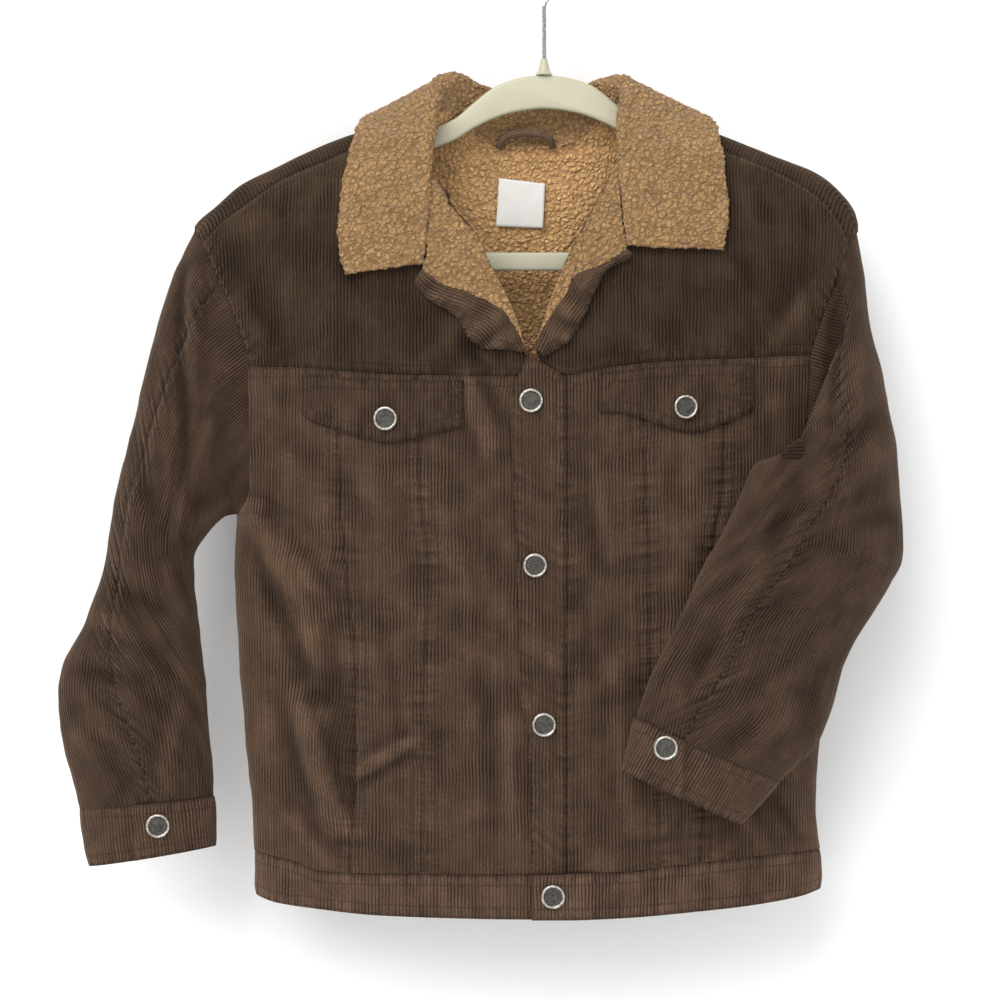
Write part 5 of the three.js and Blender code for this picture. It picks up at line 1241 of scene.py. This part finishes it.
rim_steel = metal("snap_rim_steel", (0.58, 0.55, 0.49), 0.16, 0.35)
centre_steel = metal("snap_centre_steel", (0.098, 0.093, 0.083), 0.38, 0.2)
CAP_PROFILE = [  # radius, height above the cloth, in millimetres
    (0.001, 1.55), (3.0, 1.6), (5.6, 1.45), (6.1, 1.5), (6.5, 2.2), (7.1, 2.65), (7.8, 2.55), (8.35, 1.9),
    (8.5, 1.1), (8.2, 0.3), (7.4, 0.0), (0.001, 0.0),
]
CENTRE_FROM = 6.3
for node in [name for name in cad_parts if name.startswith("snap_")]:
    corners = np.array([v.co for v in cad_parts[node].data.vertices])
    middle = corners.mean(axis=0)
    way = Vector(np.linalg.svd(corners - middle)[2][2])
    way = -way if way.y > 0 else way
    base = Vector(middle) - way * max(way.dot(Vector(middle - c)) for c in corners)
    bm = bmesh.new()
    ring = [bm.verts.new((radius / 1000, 0, height / 1000)) for radius, height in CAP_PROFILE]
    profile = [bm.edges.new(pair) for pair in zip(ring, ring[1:])]
    bmesh.ops.spin(
        bm, geom=ring + profile, cent=(0, 0, 0), axis=(0, 0, 1), angle=2 * math.pi, steps=40, use_merge=True
    )
    bmesh.ops.remove_doubles(bm, verts=bm.verts[:], dist=0.000005)
    bmesh.ops.recalc_face_normals(bm, faces=bm.faces[:])
    for face in bm.faces:
        spot = face.calc_center_median()
        face.material_index = int(math.hypot(spot.x, spot.y) * 1000 < CENTRE_FROM and spot.z > 0.001)
    bmesh.ops.rotate(bm, verts=bm.verts[:], matrix=Vector((0, 0, 1)).rotation_difference(way).to_matrix())
    bmesh.ops.translate(bm, verts=bm.verts[:], vec=base)
    mesh = bpy.data.meshes.new(f"{node}_cap")
    bm.to_mesh(mesh)
    bm.free()
    mesh.shade_smooth()
    mesh.materials.append(rim_steel)
    mesh.materials.append(centre_steel)
    cap = bpy.data.objects.new(f"{node}_cap", mesh)
    bpy.context.scene.collection.objects.link(cap)
    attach(cap, "root")
    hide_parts(node)

# Neck trims. A rolled strip of needlecord to hang the jacket by, its ends caught in the collar's
# seam, and a bare woven label sewn to the lining below it.
loop_cord = needlecord("loop_needlecord", (0.10, 0.066, 0.044), (0.03, 0.018, 0.012), 0.0, 1.6)
LOOP_PATH = [  # x, drop, lift off the sherpa
    (-31.5, 134, 0.8), (-29.5, 129, 4), (-23.5, 125.4, 6), (-13, 123.8, 6.5), (-2.5, 125, 6),
    (4, 128.4, 4), (6.3, 133.2, 0.8),
]
LOOP_RADIUS = 2.8
path = []
for x, drop, lift in LOOP_PATH:
    low = np.array(max(drop, 139.0))
    face = on_body(turn_at(-1, x, low), low, inside_depth(low, *BACK_LINING) - SHERPA)
    path.append((x, face[1] - lift - LOOP_RADIUS, -drop))
path = smooth_line(path, 48)
ahead = np.gradient(path, axis=0)
ahead /= np.linalg.norm(ahead, axis=1, keepdims=True)
side = np.cross(ahead, (0, 1, 0))
side /= np.linalg.norm(side, axis=1, keepdims=True)
front = np.cross(side, ahead)
turn = np.linspace(0, 2 * np.pi, 17)[None, :, None]
tube = path[:, None] + LOOP_RADIUS * (side[:, None] * np.cos(turn) + front[:, None] * np.sin(turn))
loop = cloth("hanging_loop_cloth", tube, 0.8, outwards=0, upright=False, closed=True, uneven=0.15, dip=0)
loop.data.materials.append(loop_cord)

woven = bpy.data.materials.new("woven_label")
woven.use_nodes = True
tree = woven.node_tree
surface = tree.nodes["Principled BSDF"]
surface.inputs["Roughness"].default_value = 0.7
chart = tree.nodes.new("ShaderNodeUVMap")
chart.uv_map = "cut"
weave = tree.nodes.new("ShaderNodeTexChecker")
weave.inputs["Scale"].default_value = 2600.0
tree.links.new(chart.outputs[0], weave.inputs["Vector"])
soiled = uneven_tone(tree, chart.outputs[0], 90.0, 3.0)
whites = blend_colours(tree, soiled, (0.68, 0.66, 0.61, 1), (0.86, 0.85, 0.82, 1))
tree.links.new(whites, surface.inputs["Base Color"])
relief = tree.nodes.new("ShaderNodeBump")
relief.inputs["Strength"].default_value = 0.4
relief.inputs["Distance"].default_value = 0.0003
tree.links.new(weave.outputs["Fac"], relief.inputs["Height"])
tree.links.new(relief.outputs[0], surface.inputs["Normal"])
LABEL = [(-31.7, 153.5), (0.7, 157.5), (-33.8, 187), (-0.7, 188.4)]
LABEL_LIFT = 2.6
u, v = spread_out(20, 20)
corner = [np.array(c) for c in LABEL]
spot = mix(mix(corner[0], corner[1], u[..., None]), mix(corner[2], corner[3], u[..., None]), v[..., None])
face = lay_on_body(-1, spot, inside_depth(spot[..., 1], *BACK_LINING) - SHERPA)
face[..., 1] -= LABEL_LIFT + 0.5 * np.sin(u * 5 + 1) * v + 0.9 * (2 * np.abs(u - 0.5)) ** 4 * v
label = cloth("neck_label_cloth", face, 0.6, outwards=-1, uneven=0.1, dip=0, slot="label")
label.data.materials.append(woven)

# Hanger. Flat moulded cream plastic with softened edges and a lower bar. A bent steel wire hook
# sits in the cone socket at its top.
plastic = bpy.data.materials.new("cream_plastic")
plastic.use_nodes = True
tree = plastic.node_tree
surface = tree.nodes["Principled BSDF"]
surface.inputs["Coat Weight"].default_value = 0.15
place = tree.nodes.new("ShaderNodeTexCoord").outputs["Object"]
scuffs = uneven_tone(tree, place, 60.0, 4.0)
creams = blend_colours(tree, scuffs, (0.42, 0.395, 0.28, 1), (0.51, 0.485, 0.345, 1))
tree.links.new(creams, surface.inputs["Base Color"])
tree.links.new(link_math(tree, "MULTIPLY_ADD", scuffs, 0.2, 0.32), surface.inputs["Roughness"])
bm = bmesh.new()
bm.from_mesh(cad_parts["hanger"].data)
bmesh.ops.remove_doubles(bm, verts=bm.verts[:], dist=0.00001)
bmesh.ops.dissolve_limit(bm, angle_limit=0.02, verts=bm.verts[:], edges=bm.edges[:])
rims = [e for e in bm.edges if len(e.link_faces) == 2 and e.calc_face_angle() > 1.2]
bmesh.ops.bevel(bm, geom=rims, offset=0.0022, segments=3, profile=0.5, affect="EDGES", material=-1)
mesh = bpy.data.meshes.new("hanger_moulding")
bm.to_mesh(mesh)
bm.free()
mesh.shade_smooth()
mesh.materials.append(plastic)
moulding = bpy.data.objects.new("hanger_moulding", mesh)
bpy.context.scene.collection.objects.link(moulding)
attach(moulding, "root")
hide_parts("hanger")
wire = metal("hook_wire", (0.62, 0.62, 0.63), 0.16, 0.15)
for node, material in (("hook_socket", plastic), ("hook", wire)):
    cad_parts[node].data.materials.clear()
    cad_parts[node].data.materials.append(material)

# Setting. The jacket hangs just in front of a white wall under soft, even light, and is seen
# straight on. The wall is clear from behind, so that it doesn't hide the back.
paper = bpy.data.materials.new("white_paper")
paper.use_nodes = True
tree = paper.node_tree
surface = tree.nodes["Principled BSDF"]
surface.inputs["Base Color"].default_value = (0.93, 0.93, 0.93, 1)
surface.inputs["Roughness"].default_value = 0.95
clear = tree.nodes.new("ShaderNodeBsdfTransparent")
which, side = tree.nodes.new("ShaderNodeMixShader"), tree.nodes.new("ShaderNodeNewGeometry")
tree.links.new(side.outputs["Backfacing"], which.inputs[0])
tree.links.new(surface.outputs[0], which.inputs[1])
tree.links.new(clear.outputs[0], which.inputs[2])
tree.links.new(which.outputs[0], tree.nodes["Material Output"].inputs["Surface"])
for name, turned, spot, size in (
    ("wall", (math.pi / 2, 0, 0), (-0.03, 0.075, -0.38), 3.0),
    ("floor", (0, 0, 0), (-0.03, -1.2, -1.1), 4.0),
):
    bm = bmesh.new()
    bmesh.ops.create_grid(bm, x_segments=4, y_segments=4, size=size / 2)
    mesh = bpy.data.meshes.new(name)
    bm.to_mesh(mesh)
    bm.free()
    mesh.materials.append(paper)
    sheet = bpy.data.objects.new(name, mesh)
    sheet.rotation_euler, sheet.location = turned, spot
    bpy.context.scene.collection.objects.link(sheet)

world = bpy.data.worlds.new("soft_room")
world.use_nodes = True
world.node_tree.nodes["Background"].inputs["Color"].default_value = (1, 1, 1, 1)
world.node_tree.nodes["Background"].inputs["Strength"].default_value = 0.66
bpy.context.scene.world = world
LIGHTS = [  # name, strength, softness in degrees, the way it shines
    ("window_light", 2.2, 45, (0.42, 0.75, -0.66)), ("front_light", 0.6, 60, (-0.1, 1.0, -0.05)),
    ("back_light", 2.0, 50, (-0.3, -0.8, -0.45)),
]
for name, strength, softness, way in LIGHTS:
    lamp = bpy.data.lights.new(name, "SUN")
    lamp.energy, lamp.angle = strength, math.radians(softness)
    light = bpy.data.objects.new(name, lamp)
    light.rotation_euler = Vector(way).to_track_quat("-Z", "Y").to_euler()
    bpy.context.scene.collection.objects.link(light)

CAMERA_DISTANCE, PICTURE_WIDTH = 2.4, 0.69
camera = bpy.data.objects.new("camera", bpy.data.cameras.new("camera"))
bpy.context.scene.collection.objects.link(camera)
camera.location = (-0.03105, -2.445, -0.383)
camera.rotation_euler = (math.pi / 2, 0, 0)
camera.data.sensor_width = 36
camera.data.lens = camera.data.sensor_width * CAMERA_DISTANCE / PICTURE_WIDTH
camera.data.clip_end = 20
bpy.context.scene.camera = camera
bpy.context.scene.view_settings.view_transform = "Standard"
